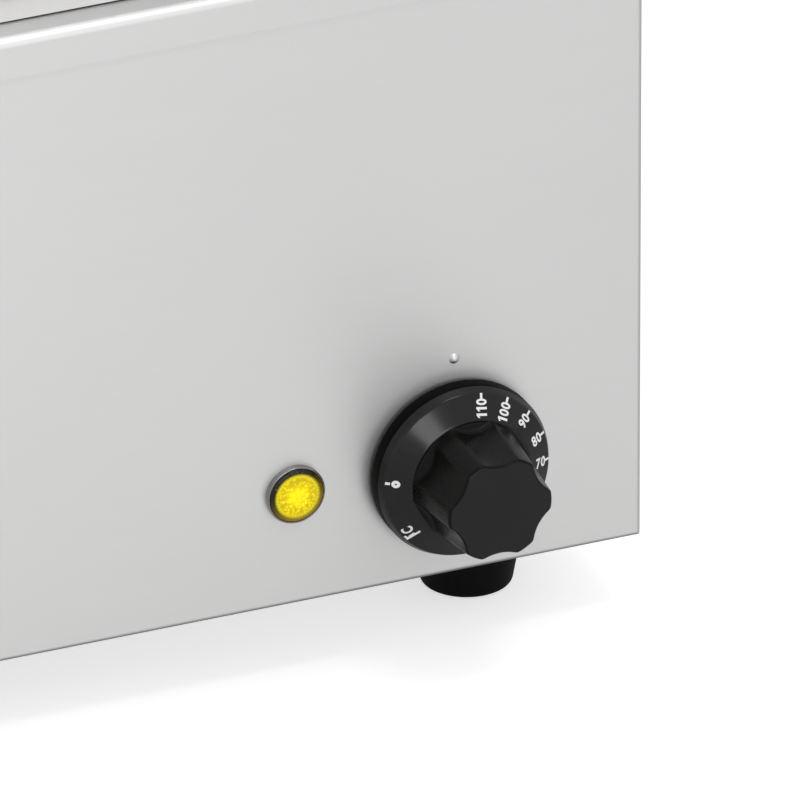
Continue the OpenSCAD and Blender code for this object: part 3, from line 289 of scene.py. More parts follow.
# Heater under the well: a bent tubular element with ceramic ends, held up by two clamp bars on welded
# studs, with a sheet shield below. The sheath is annealed and heat-tinted, the nuts are brass.
sheath, wire, shader = finish("annealed_sheath", {"Metallic": 0.8})
place = wire.node("ShaderNodeTexCoord", out="Object")
heat = wire.noise(place, 18.0, 3.0)
wire.node("ShaderNodeValToRGB", {"stops": [
    (0.30, (0.10, 0.09, 0.09, 1)), (0.48, (0.20, 0.15, 0.11, 1)),
    (0.62, (0.17, 0.16, 0.19, 1)), (0.8, (0.26, 0.24, 0.22, 1)),
]}, {0: heat}).into(shader, "Base Color")
(0.42 + heat * 0.2).into(shader, "Roughness")
coat(sheath, "heating_element")


def speckled(name, low, high, scale, rough, constants, bump=0.08):
    """A moulded, fired or turned surface: two close shades and a fine skin."""
    made, wire, shader = finish(name, constants)
    place = wire.node("ShaderNodeTexCoord", out="Object")
    cloud, skin = wire.noise(place, scale / 20, 3.0), wire.noise(place, scale, 2.0)
    (cloud * 0.6 + skin * 0.4).tint(low, high).into(shader, "Base Color")
    (rough - 0.06 + cloud * 0.06 + skin * 0.06).into(shader, "Roughness")
    skin.bump(bump, 0.0002).into(shader, "Normal")
    return made


ceramic = speckled("fired_ceramic", (0.74, 0.71, 0.64, 1), (0.86, 0.84, 0.79, 1), 900.0, 0.5, {})
brass = speckled("turned_brass", (0.60, 0.42, 0.16, 1), (0.74, 0.56, 0.26, 1), 1400.0, 0.28, {"Metallic": 1.0})
zinc = speckled("zinc_plate", grey(0.50, 0.01), grey(0.66, 0.02), 1100.0, 0.3, {"Metallic": 1.0})
coat(ceramic, "element_terminals")
coat(brass, "element_nuts")
coat(zinc, "element_studs")
coat(well_steel, "heat_shield", "element_clamps", "bulb_clip")


# Controls behind the panel: the capillary thermostat in its cream moulding, held by two screws, its brass
# bulb clipped under the well, and a snap-disc cut-out beside the bulb.
cream = speckled("cream_moulding", (0.66, 0.62, 0.51, 1), (0.76, 0.73, 0.63, 1), 1500.0, 0.45, {})
black_moulding = speckled("black_moulding", grey(0.010), grey(0.020), 2400.0, 0.42, {"Specular IOR Level": 0.35})
coat(cream, "thermostat", "terminal_block")
coat(zinc, "thermostat_screws", "spindle")
coat(brass, "capillary_bulb")
coat(black_moulding, "overheat_cutout")


# Wiring: stranded leads in red heat-proof insulation from the terminal block to the thermostat, lamp and
# heater, with the earth lead on a brass stud.
jacket = speckled("lead_insulation", (0.40, 0.035, 0.025, 1), (0.55, 0.06, 0.04, 1), 1700.0, 0.5, {})
coat(jacket, "wiring")
coat(brass, "earth_stud", "earth_nut")


# Indicator lamp: a thin plated bezel, pushed through the panel and held by a nut, and a yellow lens
# with a pebbled face, a ring of short flutes and a rounded amber edge.
def eased(corners, closed=False, steps=4):
    """A profile of (radius, height, easing) corners, with each corner rounded by its easing."""
    line = []
    for i, (x, y, easing) in enumerate(corners):
        here = Vector((x, y))
        if easing <= 0 or (not closed and i in (0, len(corners) - 1)):
            line.append(here)
            continue
        back = (Vector(corners[i - 1][:2]) - here).normalized()
        ahead = (Vector(corners[(i + 1) % len(corners)][:2]) - here).normalized()
        start, end = here + back * easing, here + ahead * easing
        for k in range(steps + 1):
            t = k / steps
            line.append(start * (1 - t) ** 2 + here * (2 * t * (1 - t)) + end * t ** 2)
    return [(p.x, p.y) for p in line]


def turned(name, profile, foot, axis, made, closed=False, steps=96, wave=None, sharp=40):
    """A profile of (radius, height), walked with the solid on its left, turned about the axis from foot."""
    lay = Vector((0, 0, 1)).rotation_difference(Vector(axis)).to_matrix()
    points, rows, faces = [], [], []
    for radius, height in profile:
        row = []
        for k in range(1 if radius < 1e-6 else steps):
            turn = 2 * math.pi * k / steps
            r, h = wave(radius, height, turn) if wave else (radius, height)
            row.append(len(points))
            points.append((Vector(foot) + lay @ Vector((r * math.cos(turn), r * math.sin(turn), h))) * MM)
        rows.append(row)
    for low, high in zip(rows, rows[1:] + rows[:1] if closed else rows[1:]):
        for k in range(steps):
            corners = [low[k % len(low)], low[(k + 1) % len(low)], high[(k + 1) % len(high)], high[k % len(high)]]
            faces.append(tuple(dict.fromkeys(corners)))
    return piece(name, points, faces, made, sharp)


panel_face, controls_level = -180.7, 67.5
lamp_foot = (163.0, panel_face, controls_level)
OUT = (0, -1, 0)

plated = speckled("bezel_plate", grey(0.20, 0.02), grey(0.28, 0.02), 2000.0, 0.14, {"Metallic": 1.0}, 0.02)
bezel = turned("lamp_bezel_ring", eased([
    (6.1, 0.0, 0), (10.0, 0.0, 0), (10.0, 2.2, 0.4), (9.45, 2.2, 0.15), (9.45, 1.2, 0), (6.1, 1.2, 0),
], True), lamp_foot, OUT, plated, True)
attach(bezel, "base")
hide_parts("lamp_bezel")

lens_yellow, wire, shader = finish("lens_yellow", {
    "Roughness": 0.1, "Specular IOR Level": 0.22, "Coat IOR": 1.6, "Coat Roughness": 0.04,
    "Emission Strength": 0.42,
})
flute_count, flute_start, flute_end, flute_deep = 40, 6.5, 7.75, 0.16
place = wire.node("ShaderNodeTexCoord", out="Object")
centred = wire.node("ShaderNodeVectorMath", {"operation": "SUBTRACT"}, {0: place, 1: Vector(lamp_foot) * MM})
level_x = wire.node("ShaderNodeSeparateXYZ", None, {0: centred})
reach = wire.maths("SQRT", level_x * level_x + level_x[2] * level_x[2])
# Painted shade: the face is coloured darker at the pebbles' edges and along the flutes, less so at the middle, and
# the glow is dimmed there too.
pebble = wire.node("ShaderNodeTexVoronoi", {"feature": "F1"}, {"Vector": centred, "Scale": 900.0}).rise(0.1, 0.75)
spoke = wire.maths("COSINE", wire.maths("ARCTAN2", level_x[2], level_x) * flute_count) * 0.5 + 0.5
border = reach.rise(0.0062, 0.0070)
pebble_and_flute_shade = pebble * (1 - border) * (0.5 + reach.rise(0.001, 0.005) * 0.5) + spoke * border * 0.35
# Painted shade and painted light: the amber edge ring is coloured near-black on the upper left and golden towards
# the lower right.
painted_light_lower_right = (level_x * 0.5 - level_x[2]).rise(-0.006, 0.010)
amber = painted_light_lower_right.tint((0.008, 0.004, 0.001, 1), (0.32, 0.21, 0.0, 1))
edge = reach.rise(0.0069, 0.0082)
wire.node("ShaderNodeMix", {"data_type": "RGBA"}, {
    0: edge, 6: pebble_and_flute_shade.tint((1.0, 0.85, 0.004, 1), (0.70, 0.50, 0.002, 1)), 7: amber}, 2).into(shader, "Base Color")
(edge * 0.15).into(shader, "Coat Weight")
glow = (1 - reach.rise(0.002, 0.0076)) * (1 - pebble_and_flute_shade * 0.5)
glow.tint((0, 0, 0, 1), (1.0, 0.82, 0.0, 1)).into(shader, "Emission Color")
pebble.bump(0.4, 0.0004).into(shader, "Normal")


def flutes(radius, height, turn):
    if flute_start < radius < flute_end:
        groove = 0.5 + 0.5 * math.cos(flute_count * turn)
        height -= flute_deep * groove * min(1.0, (radius - flute_start) / 0.4)
    return radius, height


lens_flat, lens_crown, face_step = 7.7, 0.2, 0.25
shoulder = [(lens_flat + x, 1.6 + y * 0.7) for x, y in arc((0.0, 0.0), 1.7, 0, 85, 12)]
face_radii = [lens_flat - face_step * k for k in range(31)]
face_steps = [(r, 2.79 + lens_crown * (1 - (r / lens_flat) ** 2)) for r in face_radii]
lens = turned("lamp_lens_cap", [(0.0, 1.3), (9.4, 1.3)] + shoulder + face_steps + [(0.0, 2.99)],
              lamp_foot, OUT, lens_yellow, steps=240, wave=flutes)
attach(lens, "base")
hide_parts("lamp_lens")
coat(black_moulding, "lamp_body", "lamp_nut")


# Thermostat knob: one black moulding, a dial with a straight rim, a steep bevel and a shallow cone, and a
# six-lobed grip on it. It pushes onto the flat of the spindle. The figures are printed in white. The rim
# and the grip's sides get darker copies of the black, as painted shade.
knob_foot = (219.0, panel_face, controls_level)
cone_low, cone_high = (28.8, 10.0), (20.9, 14.0)
bevel_from, rim_from = 28.95, 29.9
grip_foot, grip_tall, grip_wide, grip_narrow = 13.9, 23.6, 20.4, 18.0

knob_black = speckled("knob_moulding", grey(0.004), grey(0.006), 1600.0, 0.13, {"Specular IOR Level": 0.30}, 0.006)
# The grip's sides: a darker copy of the black, as painted shade.
side_black_painted_shade = speckled("knob_side_painted_shade", grey(0.002, 0.1), grey(0.004, 0.1), 2000.0, 0.28,
                      {"Specular IOR Level": 0.11}, 0.02)
bevel_black = speckled("knob_bevel", grey(0.004), grey(0.006), 2600.0, 0.36, {"Specular IOR Level": 0.3}, 0.03)
# The rim: a near-black copy of the black, as painted shade.
rim_black_painted_shade = speckled("knob_rim_painted_shade", grey(0.001), grey(0.002), 2600.0, 0.5, {"Specular IOR Level": 0.02}, 0.05)
dial = turned("knob_dial", eased([
    (0.0, 26.1, 0), (3.05, 26.1, 0), (3.05, 2.0, 0.2), (7.0, 2.0, 0.3), (7.0, 7.5, 0.6), (26.3, 7.5, 0.6),
    (26.3, 2.0, 0.3), (30.0, 2.0, 0.6), (30.0, 7.0, 0.5), (*cone_low, 0.45), (28.2, 10.304, 0),
    (21.5, 13.696, 0), (*cone_high, 0.4), (5.0, 14.0, 0), (5.0, 27.0, 0), (0.0, 27.0, 0),
]), knob_foot, OUT, knob_black, steps=180, sharp=30)
dial.data.materials.append(bevel_black)
dial.data.materials.append(rim_black_painted_shade)
for face in dial.data.polygons:
    off_axis = math.hypot(face.center.x - knob_foot[0] * MM, face.center.z - knob_foot[2] * MM) / MM
    face.material_index = int(off_axis > bevel_from) + int(off_axis > rim_from)
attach(dial, "knob")


def growing(name, sizes):
    """A geometry tree that takes a mesh of places, with one named input for each size."""
    tree = bpy.data.node_groups.new(name, "GeometryNodeTree")
    tree.interface.new_socket("Places", in_out="INPUT", socket_type="NodeSocketGeometry")
    for size in sizes:
        tree.interface.new_socket(size, in_out="INPUT", socket_type="NodeSocketFloat")
    tree.interface.new_socket("Mesh", in_out="OUTPUT", socket_type="NodeSocketGeometry")
    start = Wire(tree).node("NodeGroupInput")
    return start, {size: start[size] for size in sizes}


def grown(name, shape, sizes, made, places, axes=None, edges=(), sharp=40):
    """Ends the tree in a finish, runs it on the places and keeps what it makes as a plain mesh."""
    solid = shape.node("GeometryNodeRealizeInstances", None, {"Geometry": shape})
    solid = shape.node("GeometryNodeSetMaterial", None, {"Geometry": solid, "Material": made})
    end = shape.tree.nodes.new("NodeGroupOutput")
    shape.tree.links.new(solid.socket, end.inputs[0])
    seed = bpy.data.meshes.new(name + "_places")
    seed.from_pydata([Vector(p) * MM for p in places], list(edges), [])
    if axes:
        held = seed.attributes.new("axis", "FLOAT_VECTOR", "POINT")
        for slot, axis in zip(held.data, axes):
            slot.vector = axis
    holder = bpy.data.objects.new(name, seed)
    bpy.context.scene.collection.objects.link(holder)
    modifier = holder.modifiers.new("grow", "NODES")
    modifier.node_group = shape.tree
    for socket in shape.tree.interface.items_tree:
        if socket.name in sizes:
            modifier[socket.identifier] = sizes[socket.name] * (1 if socket.name.endswith("count") else MM)
    mesh = bpy.data.meshes.new_from_object(holder.evaluated_get(bpy.context.evaluated_depsgraph_get()))
    holder.modifiers.remove(modifier)
    holder.data = mesh
    mesh.name = name
    mesh.shade_smooth()
    mesh.set_sharp_from_angle(angle=math.radians(sharp))
    return holder


sizes = {"Height": grip_tall + 0.1, "Foot radius": grip_wide, "Face radius": grip_narrow, "Flute depth": 2.3,
         "Flute radius": 14.5, "Lobe count": 6.0, "Lobe edge": 2.2, "Face edge": 1.0, "Foot edge": 3.0}
start, size = growing("lobed_grip", sizes)
ring = start.node("GeometryNodeCurvePrimitiveCircle", {"mode": "RADIUS"}, {"Resolution": 240, "Radius": 1.0})
spot = start.node("GeometryNodeInputPosition")
spot_x = start.node("ShaderNodeSeparateXYZ", None, {0: spot})
turn = start.maths("ARCTAN2", spot_x[1], spot_x)
sector = 2 * math.pi / size["Lobe count"]
swing = (start.maths("FRACT", turn / sector + 8) - 0.5) * sector
centre = size["Face radius"] - size["Flute depth"] + size["Flute radius"]
half_chord = centre * start.maths("SINE", swing)
inside = start.maths("MAXIMUM", size["Flute radius"] * size["Flute radius"] - half_chord * half_chord, 0.0)
flute = centre * start.maths("COSINE", swing) - start.maths("SQRT", inside)
wide = start.maths("GREATER_THAN", inside, 0.0)
flute = flute * wide + size["Face radius"] * 2 * (1 - wide)
lobed = start.maths("SMOOTH_MIN", size["Face radius"], flute, size["Lobe edge"] * 0.5)
outline = start.node("GeometryNodeSetPosition", None, {"Geometry": ring, "Position": start.node(
    "ShaderNodeVectorMath", {"operation": "SCALE"}, {0: spot, "Scale": lobed})})
line = start.node("GeometryNodeCurvePrimitiveLine", None, {"Start": (0, 0, 0), "End": (0, 0, 1)})
line = start.node("GeometryNodeResampleCurve", None, {"Curve": line, "Count": 64})
share = start.node("GeometryNodeSplineParameter")
level = size["Height"] * (0.5 - 0.5 * start.maths("COSINE", share * math.pi))
line = start.node("GeometryNodeSetPosition", None, {
    "Geometry": line, "Position": start.node("ShaderNodeCombineXYZ", None, {2: level})})
climb = start.node("ShaderNodeSeparateXYZ", None, {0: spot})[2]
taper = size["Foot radius"] + (size["Face radius"] - size["Foot radius"]) * climb / size["Height"]
top_left = start.maths("MAXIMUM", size["Face edge"] - (size["Height"] - climb), 0.0)
top_inset = size["Face edge"] - start.maths("SQRT", size["Face edge"] * size["Face edge"] - top_left * top_left)
swell = (taper - top_inset) / size["Face radius"]
grip = start.node("GeometryNodeCurveToMesh", None, {
    "Curve": line, "Profile Curve": outline, "Scale": swell, "Fill Caps": True})
foot_left = start.maths("MAXIMUM", size["Foot edge"] - climb, 0.0)
foot_flare = size["Foot edge"] - start.maths("SQRT", size["Foot edge"] * size["Foot edge"] - foot_left * foot_left)
in_flute = 0.5 + 0.5 * start.maths("COSINE", swing * size["Lobe count"])
away = start.node("ShaderNodeVectorMath", {"operation": "NORMALIZE"}, {0: start.node(
    "ShaderNodeCombineXYZ", None, {0: spot_x, 1: spot_x[1]})})
grip = start.node("GeometryNodeSetPosition", None, {"Geometry": grip, "Offset": start.node(
    "ShaderNodeVectorMath", {"operation": "SCALE"}, {0: away, "Scale": foot_flare * in_flute})})
grip = start.node("GeometryNodeTransform", None, {
    "Geometry": grip, "Translation": (knob_foot[0] * MM, (knob_foot[1] - grip_foot) * MM, knob_foot[2] * MM),
    "Rotation": (math.pi / 2, 0, 0)})
grip = grown("knob_grip", grip, sizes, knob_black, [(0, 0, 0)], sharp=50)
grip.data.materials.append(side_black_painted_shade)
for face in grip.data.polygons:
    face.material_index = int(face.normal.y > -0.95)
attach(grip, "knob")
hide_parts("knob")

dial_white = speckled("dial_white", grey(0.80), grey(0.92), 3000.0, 0.5, {"Specular IOR Level": 0.3}, 0.02)


def printed(text, cap, narrow, lay):
    """Thin raised letters on the dial's cone: cap height in millimetres, narrowed across, laid by lay(u, v)."""
    letters = bpy.data.curves.new("dial_print", "FONT")
    letters.body, letters.size, letters.resolution_u = text, 1.0, 4
    letters.extrude, letters.offset = 0.01, 0.03
    holder = bpy.data.objects.new("dial_print", letters)
    bpy.context.scene.collection.objects.link(holder)
    mesh = bpy.data.meshes.new_from_object(holder.evaluated_get(bpy.context.evaluated_depsgraph_get()))
    bpy.data.objects.remove(holder)
    spots = [v.co.copy() for v in mesh.vertices]
    faces = [tuple(f.vertices) for f in mesh.polygons]
    bpy.data.meshes.remove(mesh)
    low = Vector([min(p[i] for p in spots) for i in range(2)])
    high = Vector([max(p[i] for p in spots) for i in range(2)])
    scale = cap / (high.y - low.y)
    wide = (high.x - low.x) * scale * narrow
    laid = [(lay((p.x - low.x) * scale * narrow, (p.y - low.y) * scale, wide), p.z > 0) for p in spots]
    return laid, faces, wide


marks, mark_faces = [], []


def on_cone(x, z, raised):
    radius = math.hypot(x, z)
    fall = (cone_low[1] - cone_high[1]) / (cone_low[0] - cone_high[0])
    height = cone_high[1] + (radius - cone_high[0]) * fall + (0.05 if raised else -0.05)
    return Vector((knob_foot[0] + x, knob_foot[1] - height, knob_foot[2] + z)) * MM


def outward(angle, radius, aside):
    """A point on the dial: angle clockwise from the top, then aside anticlockwise."""
    a = math.radians(angle)
    return radius * math.sin(a) - aside * math.cos(a), radius * math.cos(a) + aside * math.sin(a)


def keep(flat, faces):
    first = len(marks)
    marks.extend(on_cone(*place, raised) for place, raised in flat)
    mark_faces.extend(tuple(first + i for i in face) for face in faces)


def patch(angle, corners):
    """A printed shape whose corners are (radius, aside)."""
    flat, n = [outward(angle, *corner) for corner in corners], len(corners)
    walls = [(k, n + k, n + (k + 1) % n, (k + 1) % n) for k in range(n)]
    keep([(c, True) for c in flat] + [(c, False) for c in flat],
         [tuple(range(n)), tuple(range(2 * n - 1, n - 1, -1))] + walls)


def bar(angle, low, high, width):
    """A printed stroke along a radius, from low to high."""
    patch(angle, [(low, -width / 2), (high, -width / 2), (high, width / 2), (low, width / 2)])


def ring_mark(angle, radius, outer, inner, n=20):
    flat, faces = [], []
    for raised in (True, False):
        for r in (outer, inner):
            for k in range(n):
                t = 2 * math.pi * k / n
                flat.append((outward(angle, radius + r * math.cos(t), r * math.sin(t)), raised))
    for k in range(n):
        j = (k + 1) % n
        faces += [(k, j, n + j, n + k), (3 * n + k, 3 * n + j, 2 * n + j, 2 * n + k),
                  (2 * n + k, 2 * n + j, j, k), (n + k, n + j, 3 * n + j, 3 * n + k)]
    keep(flat, faces)


figure_cap, figure_gap, figure_end, one_wide = 3.7, 0.2, 27.1, 1.65
tick_foot, tick_end, tick_wide = 26.9, 28.7, 0.8
off_angle = 275
one = [(0.6, 0), (1.3, 0), (1.3, 3.7), (0.75, 3.7), (0.05, 3.05), (0.05, 2.4), (0.6, 2.8)]
for number, angle in zip(range(110, 20, -10), range(10, 180, 20)):
    bar(angle, tick_foot, tick_end, tick_wide)
    end = figure_end
    for digit in reversed(str(number)):
        if digit == "1":
            patch(angle, [(end - one_wide + u, v - figure_cap / 2) for u, v in one])
            wide = one_wide
        else:
            flat, faces, wide = printed(digit, figure_cap, 0.76, lambda u, v, w: outward(
                angle, end - w + u, v - figure_cap / 2))
            keep(flat, faces)
        end -= wide + figure_gap
bar(off_angle, 27.3, tick_end, 0.9)
ring_mark(off_angle, 25.6, 1.3, 0.3)
patch(227.8, [(23.5, -0.4), (25.0, -0.4), (25.4, -0.95), (27.2, -0.75), (27.6, -0.45), (27.9, -1.5), (28.5, -1.5),
              (28.5, 0.4), (23.5, 0.4)])
keep(*printed("C", 3.6, 0.8, lambda u, v, w: outward(234.4, 24.4 + v, w / 2 - u))[:2])
dial_print = piece("knob_print", marks, mark_faces, dial_white)
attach(dial_print, "knob")


# Feet: four tapered rubber mouldings with a rounded lower edge, each held by a screw through a washer in
# its hollow and a nut inside the base.
rubber = speckled("foot_rubber", grey(0.0012), grey(0.003), 1300.0, 0.62, {"Specular IOR Level": 0.1}, 0.12)
foot_x, foot_front, foot_rear = 242, -137.7, 155.3
for name, x, y in (("front_left", -foot_x, foot_front), ("front_right", foot_x, foot_front),
                   ("rear_left", -foot_x, foot_rear), ("rear_right", foot_x, foot_rear)):
    foot = turned("rubber_foot_" + name, eased([
        (7.0, 0.0, 0.6), (14.9, 0.0, 1.8), (19.9, 27.8, 0.5), (2.75, 27.8, 0), (2.75, 17.0, 0), (7.0, 17.0, 0.8),
    ], True, 6), (x, y, 0.0), (0, 0, 1), rubber, True)
    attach(foot, "base")
    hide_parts("foot_" + name)
coat(zinc, "foot_washers", "foot_nuts")


# Screws: zinc-plated pan heads with a cross recess, in the base plate, the rear panel and the feet. Each
# was driven home by hand, so no two crosses line up.
def cylinder(start, sides, radius, depth):
    return start.node("GeometryNodeMeshCylinder", {"fill_type": "NGON"}, {
        "Vertices": sides, "Radius": radius, "Depth": depth})


def lifted(shape, height):
    """The shape moved along its own axis."""
    up = shape.node("ShaderNodeCombineXYZ", None, {2: height})
    return shape.node("GeometryNodeTransform", None, {"Geometry": shape, "Translation": up})


def cut(start, operation, meshes):
    """One solid from several: joined, cut away from each other or what they share."""
    return start.node("GeometryNodeMeshBoolean", {"operation": operation, "solver": "EXACT"}, meshes)


def dome(start, radius, height, steps):
    """A round head on z = 0: a short straight side under a crown."""
    head = cylinder(start, 36, radius, height * 0.4)
    top = head["Top"]
    head = lifted(head, height * 0.2)
    was = 1.0
    for k in range(1, steps + 1):
        wide_now = math.cos(math.radians(62 * k / steps)) ** 0.8
        lift = math.sin(math.radians(90 * k / steps)) - math.sin(math.radians(90 * (k - 1) / steps))
        head = start.node("GeometryNodeExtrudeMesh", {"mode": "FACES"}, {
            "Mesh": head, "Selection": top, "Offset Scale": height * (0.6 * lift), "Individual": False})
        top = head["Top"]
        head = start.node("GeometryNodeScaleElements", {"domain": "FACE"}, {
            "Geometry": head, "Selection": top, "Scale": wide_now / was})
        was = wide_now
    return head


def set_out(start, shape, spin):
    """One copy of the shape on every place, standing along the place's axis."""
    axis = start.node("GeometryNodeInputNamedAttribute", {"data_type": "FLOAT_VECTOR"}, {"Name": "axis"})
    stand = start.node("FunctionNodeAlignRotationToVector", {"axis": "Z"}, {"Vector": axis})
    if spin:
        chance = start.node("FunctionNodeRandomValue", {"data_type": "FLOAT"}, {2: 0.0, 3: 1.57, "Seed": 4}, 1)
        twist = start.node("FunctionNodeAxisAngleToRotation", None, {"Axis": (0, 0, 1), "Angle": chance})
        stand = start.node("FunctionNodeRotateRotation", {"rotation_space": "LOCAL"}, {0: stand, 1: twist})
    return start.node("GeometryNodeInstanceOnPoints", None, {"Points": start, "Instance": shape, "Rotation": stand})


def shank(start, radius, length, shift):
    return lifted(cylinder(start, 20, radius, length), shift)


def screws(name, sizes, places, axes, node):
    start, size = growing(name, sizes)
    head = dome(start, size["Head radius"], size["Head height"], 5)
    arms = [start.node("GeometryNodeMeshCube", None, {"Size": start.node("ShaderNodeCombineXYZ", None, order)})
            for order in ({0: size["Recess"], 1: size["Recess"] * 0.24, 2: size["Head height"]},
                          {1: size["Recess"], 0: size["Recess"] * 0.24, 2: size["Head height"]})]
    cross = lifted(cut(start, "UNION", {"Mesh 2": arms}), size["Head height"])
    head = cut(start, "DIFFERENCE", {"Mesh 1": head, "Mesh 2": cross})
    rod = shank(start, size["Shank radius"], size["Shank length"], size["Shank length"] * -0.5)
    both = start.node("GeometryNodeJoinGeometry", None, {"Geometry": [head, rod]})
    made = grown(name, set_out(start, both, True), sizes, zinc, places, axes)
    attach(made, "base")
    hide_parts(node)


DOWN = (0, 0, -1)
m4 = {"Head radius": 3.6, "Head height": 2.2, "Shank radius": 2.0, "Shank length": 7.6, "Recess": 4.4}
m5 = {"Head radius": 4.6, "Head height": 2.8, "Shank radius": 2.5, "Shank length": 18.8, "Recess": 5.4}
flange_x = 278
under = [(sx * flange_x, y, 27) for sx in (-1, 1) for y in (103.3, -85.7)]
under += [(sx * 143, y, 27) for sx in (-1, 1) for y in (190.5, -172.9)]
screws("base_plate_screws", m4, under, [DOWN] * len(under), "base_screws")
behind = [(sx * flange_x, 198.3, z) for sx in (-1, 1) for z in (63, 138, 213)]
screws("rear_panel_screws", m4, behind, [(0, 1, 0)] * len(behind), "rear_screws")
below = [(sx * foot_x, y, 15.8) for sx in (-1, 1) for y in (foot_front, foot_rear)]
screws("foot_bolts", m5, below, [DOWN] * len(below), "foot_screws")


# Cable gland: a black moulded body with a hexagon, a domed cap nut, a rubber seal and a lock nut inside
# the rear panel.
gland_seal_rubber = speckled("seal_rubber", grey(0.010), grey(0.018), 1500.0, 0.7, {"Specular IOR Level": 0.2}, 0.1)
coat(black_moulding, "gland_body", "gland_cap", "gland_locknut")
coat(gland_seal_rubber, "gland_seal")


# Hinges: two folded brackets riveted to the deck, a plain pin with a push-on clip in each, and a strap
# with a rolled eye riveted to the lid's back. The rivets are set from solid, with a head on either side.
coat(bright_steel, "hinge_bracket_left", "hinge_bracket_right", "hinge_strap_left", "hinge_strap_right")
coat(zinc, "hinge_pin_left", "hinge_pin_right")
coat(black_moulding, "pin_clips")


def rivets(name, grip_length, places, axis, body, node):
    sizes = {"Head radius": 2.8, "Head height": 1.3, "Shank radius": 1.6, "Grip": grip_length}
    start, size = growing(name, sizes)
    head = dome(start, size["Head radius"], size["Head height"], 6)
    far = lifted(head, size["Grip"])
    near = start.node("GeometryNodeTransform", None, {"Geometry": head, "Rotation": (math.pi, 0, 0)})
    rod = shank(start, size["Shank radius"], size["Grip"], size["Grip"] * 0.5)
    whole = start.node("GeometryNodeJoinGeometry", None, {"Geometry": [far, near, rod]})
    made = grown(name, set_out(start, whole, False), sizes, zinc, places, [axis] * len(places))
    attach(made, body)
    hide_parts(node)


hinge_x = 170
in_deck = [(s * hinge_x + t * 15.4, 184.3, 249.0) for s in (-1, 1) for t in (-1, 1)]
in_lid = [(s * hinge_x + t * 4.5, 169.3, 263.4) for s in (-1, 1) for t in (-1, 1)]
rivets("deck_rivets", 2.3, in_deck, (0, 0, 1), "base", "bracket_rivets")
rivets("lid_rivets", 2.5, in_lid, (0, 1, 0), "lid", "strap_rivets")


# Lid: a stainless pressing with a straight skirt, a domed shoulder and a flat top, hemmed along its lower
# edge. It swings on the two hinges at the back.
lid_wide, lid_deep, lid_corner, lid_sheet = 546, 341, 24, 1.0
lid_level, lid_skirt, lid_run, lid_rise = 250.2, 17.0, 60.0, 54
rings = []


def lid_ring(thin, inset, level):
    draw_in = 2 * (thin + inset)
    return rounded_ring((0, -0.2), lid_wide - draw_in, lid_deep - draw_in, lid_corner, lid_level + level, 16)


for a in range(90, -1, -3):
    t = math.radians(a)
    rings.append(lid_ring(lid_sheet, lid_run * (1 - math.cos(t)), lid_skirt + (lid_rise - lid_sheet) * math.sin(t)))
hem = ((1.0, 0.5), (0.85, 0.15), (0.5, 0), (0.15, 0.15), (0, 0.5))
rings += [lid_ring(thin, 0, level) for thin, level in hem]
for a in range(0, 91, 3):
    t = math.radians(a)
    rings.append(lid_ring(0, lid_run * (1 - math.cos(t)), lid_skirt + lid_rise * math.sin(t)))
lid = pressed("domed_lid", rings, bright_steel)
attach(lid, "lid")
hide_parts("lid_shell")


# Lid handle: a bent stainless rod through two washers, nutted inside the lid, with a black moulded sleeve
# that stays cool.
handle_half, handle_y, handle_foot, handle_top, nut_level = 60, -82.7, 311.2, 359.2, 315.45
sizes = {"Rod radius": 4.0, "Bend": 14.0}
start, size = growing("bent_handle", sizes)
bent = start.node("GeometryNodeMeshToCurve", None, {"Mesh": start})
bent = start.node("GeometryNodeFilletCurve", {"mode": "POLY"}, {
    "Curve": bent, "Count": 14, "Radius": size["Bend"], "Limit Radius": True})
round_bar = start.node("GeometryNodeCurvePrimitiveCircle", {"mode": "RADIUS"}, {
    "Resolution": 32, "Radius": size["Rod radius"]})
bent = start.node("GeometryNodeCurveToMesh", None, {"Curve": bent, "Profile Curve": round_bar, "Fill Caps": True})
bow = [(-handle_half, handle_y, handle_foot), (-handle_half, handle_y, handle_top),
       (handle_half, handle_y, handle_top), (handle_half, handle_y, handle_foot)]
rod = grown("handle_bow", bent, sizes, bright_steel, bow, edges=[(0, 1), (1, 2), (2, 3)])
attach(rod, "lid")
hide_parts("handle_rod")

sleeve = turned("handle_grip_sleeve", eased([
    (4.05, -44.0, 0), (7.0, -44.0, 1.0), (8.5, -42.0, 1.2), (9.0, -34.0, 3.0), (9.0, 34.0, 3.0), (8.5, 42.0, 1.2),
    (7.0, 44.0, 1.0), (4.05, 44.0, 0),
], True), (0.0, handle_y, handle_top), (1, 0, 0), black_moulding, True, 64)
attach(sleeve, "lid")
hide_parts("handle_sleeve")
coat(zinc, "handle_washers")

sizes = {"Flat": 13.0, "Height": 6.5, "Bore": 4.05}
start, size = growing("chamfered_nut", sizes)
block = cylinder(start, 6, size["Flat"] * (0.5 / math.cos(math.pi / 6)), size["Height"])
turning = start.node("GeometryNodeMeshCone", {"fill_type": "NGON"}, {
    "Vertices": 48, "Radius Top": size["Flat"] * 1.4, "Radius Bottom": size["Flat"] * 0.48,
    "Depth": size["Height"] * 2.6})
turning = lifted(turning, size["Height"] * -0.5)
bore = cylinder(start, 40, size["Bore"], size["Height"] * 2)
block = cut(start, "INTERSECT", {"Mesh 2": [block, turning]})
block = cut(start, "DIFFERENCE", {"Mesh 1": block, "Mesh 2": bore})
nut_places = [(side * handle_half, handle_y, nut_level) for side in (-1, 1)]
nuts = grown("lid_nuts", set_out(start, block, False), sizes, zinc, nut_places, [(0, 0, 1)] * 2, sharp=30)
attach(nuts, "lid")
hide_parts("handle_nuts")


# Studio: a plain white table, an even white room, a soft box in front that draws the highlight on the
# dial's cone and one overhead for the flutes. The camera stands to the left and above, with a long lens.
scene = bpy.context.scene
scene.view_settings.view_transform = "Standard"


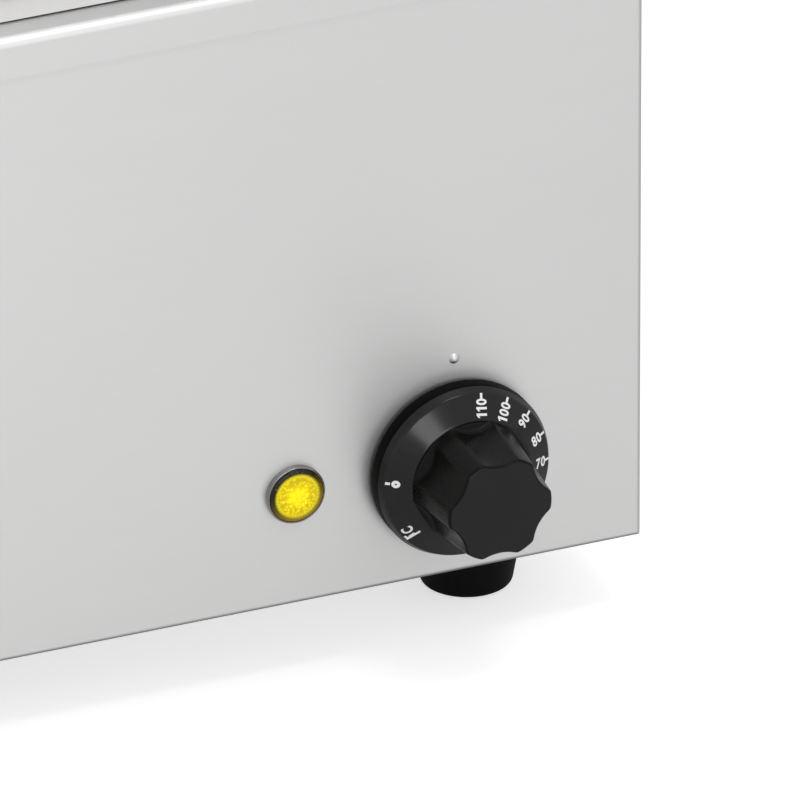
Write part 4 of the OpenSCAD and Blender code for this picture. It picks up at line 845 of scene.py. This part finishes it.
def seen(wire, mirrored=1.0):
    """1 for the camera, mirrored for what metal and glass show, 0 for the light that falls on the object."""
    path = wire.node("ShaderNodeLightPath", out="Is Camera Ray")
    return path.maths("MINIMUM", path + (path["Is Glossy Ray"] + path["Is Transmission Ray"]) * mirrored, 1.0)


room = bpy.data.worlds.new("white_room")
room.use_nodes = True
scene.world = room
air = Wire(room.node_tree)
sky = room.node_tree.nodes["Background"]
sky.inputs["Color"].default_value = (1, 1, 1, 1)
room_light = 0.80
mask = seen(air)
air.tree.links.new((room_light + mask * (1 - room_light)).socket, sky.inputs["Strength"])

floor_mesh = bpy.data.meshes.new("table_top")
table_half, table_level = 6.0, -0.0003
table_corners = [(sx * table_half, sy * table_half, table_level) for sx, sy in ((-1, -1), (1, -1), (1, 1), (-1, 1))]
floor_mesh.from_pydata(table_corners, [], [(0, 1, 2, 3)])
table_top = bpy.data.objects.new("table_top", floor_mesh)
scene.collection.objects.link(table_top)
table_white, wire, shader = finish("table_white", {
    "Base Color": (0.65, 0.65, 0.65, 1), "Roughness": 0.9, "Specular IOR Level": 0.1, "Emission Strength": 1.0})
seen(wire, 0.3).tint((0, 0, 0, 1), (0.6, 0.6, 0.6, 1)).into(shader, "Emission Color")
floor_mesh.materials.append(table_white)


def soft_box(name, place, aim, width, height, watts):
    lamp = bpy.data.lights.new(name, "AREA")
    lamp.shape, lamp.size, lamp.size_y, lamp.energy = "RECTANGLE", width, height, watts
    box = bpy.data.objects.new(name, lamp)
    box.location = place
    box.rotation_euler = (Vector(place) - Vector(aim)).to_track_quat("Z", "Y").to_euler()
    scene.collection.objects.link(box)


soft_box("front_soft_box", (0.0815, -1.641, 0.374), (0.219, -0.19, 0.0675), 0.6, 0.45, 3.5)
soft_box("overhead_soft_box", (0.35, -0.62, 1.35), (0.219, -0.2, 0.07), 0.4, 0.2, 2.5)

target, back = Vector((0.2, -0.1807, 0.0934)), Vector((-0.3535, -0.817, 0.4555)).normalized()
camera_distance = 9.985
eye = bpy.data.cameras.new("camera")
eye.lens, eye.sensor_width = 1400, 36
camera = bpy.data.objects.new("camera", eye)
camera.location = target + back * camera_distance
camera.rotation_euler = back.to_track_quat("Z", "Y").to_euler()
scene.collection.objects.link(camera)
scene.camera = camera

bpy.context.view_layer.update()
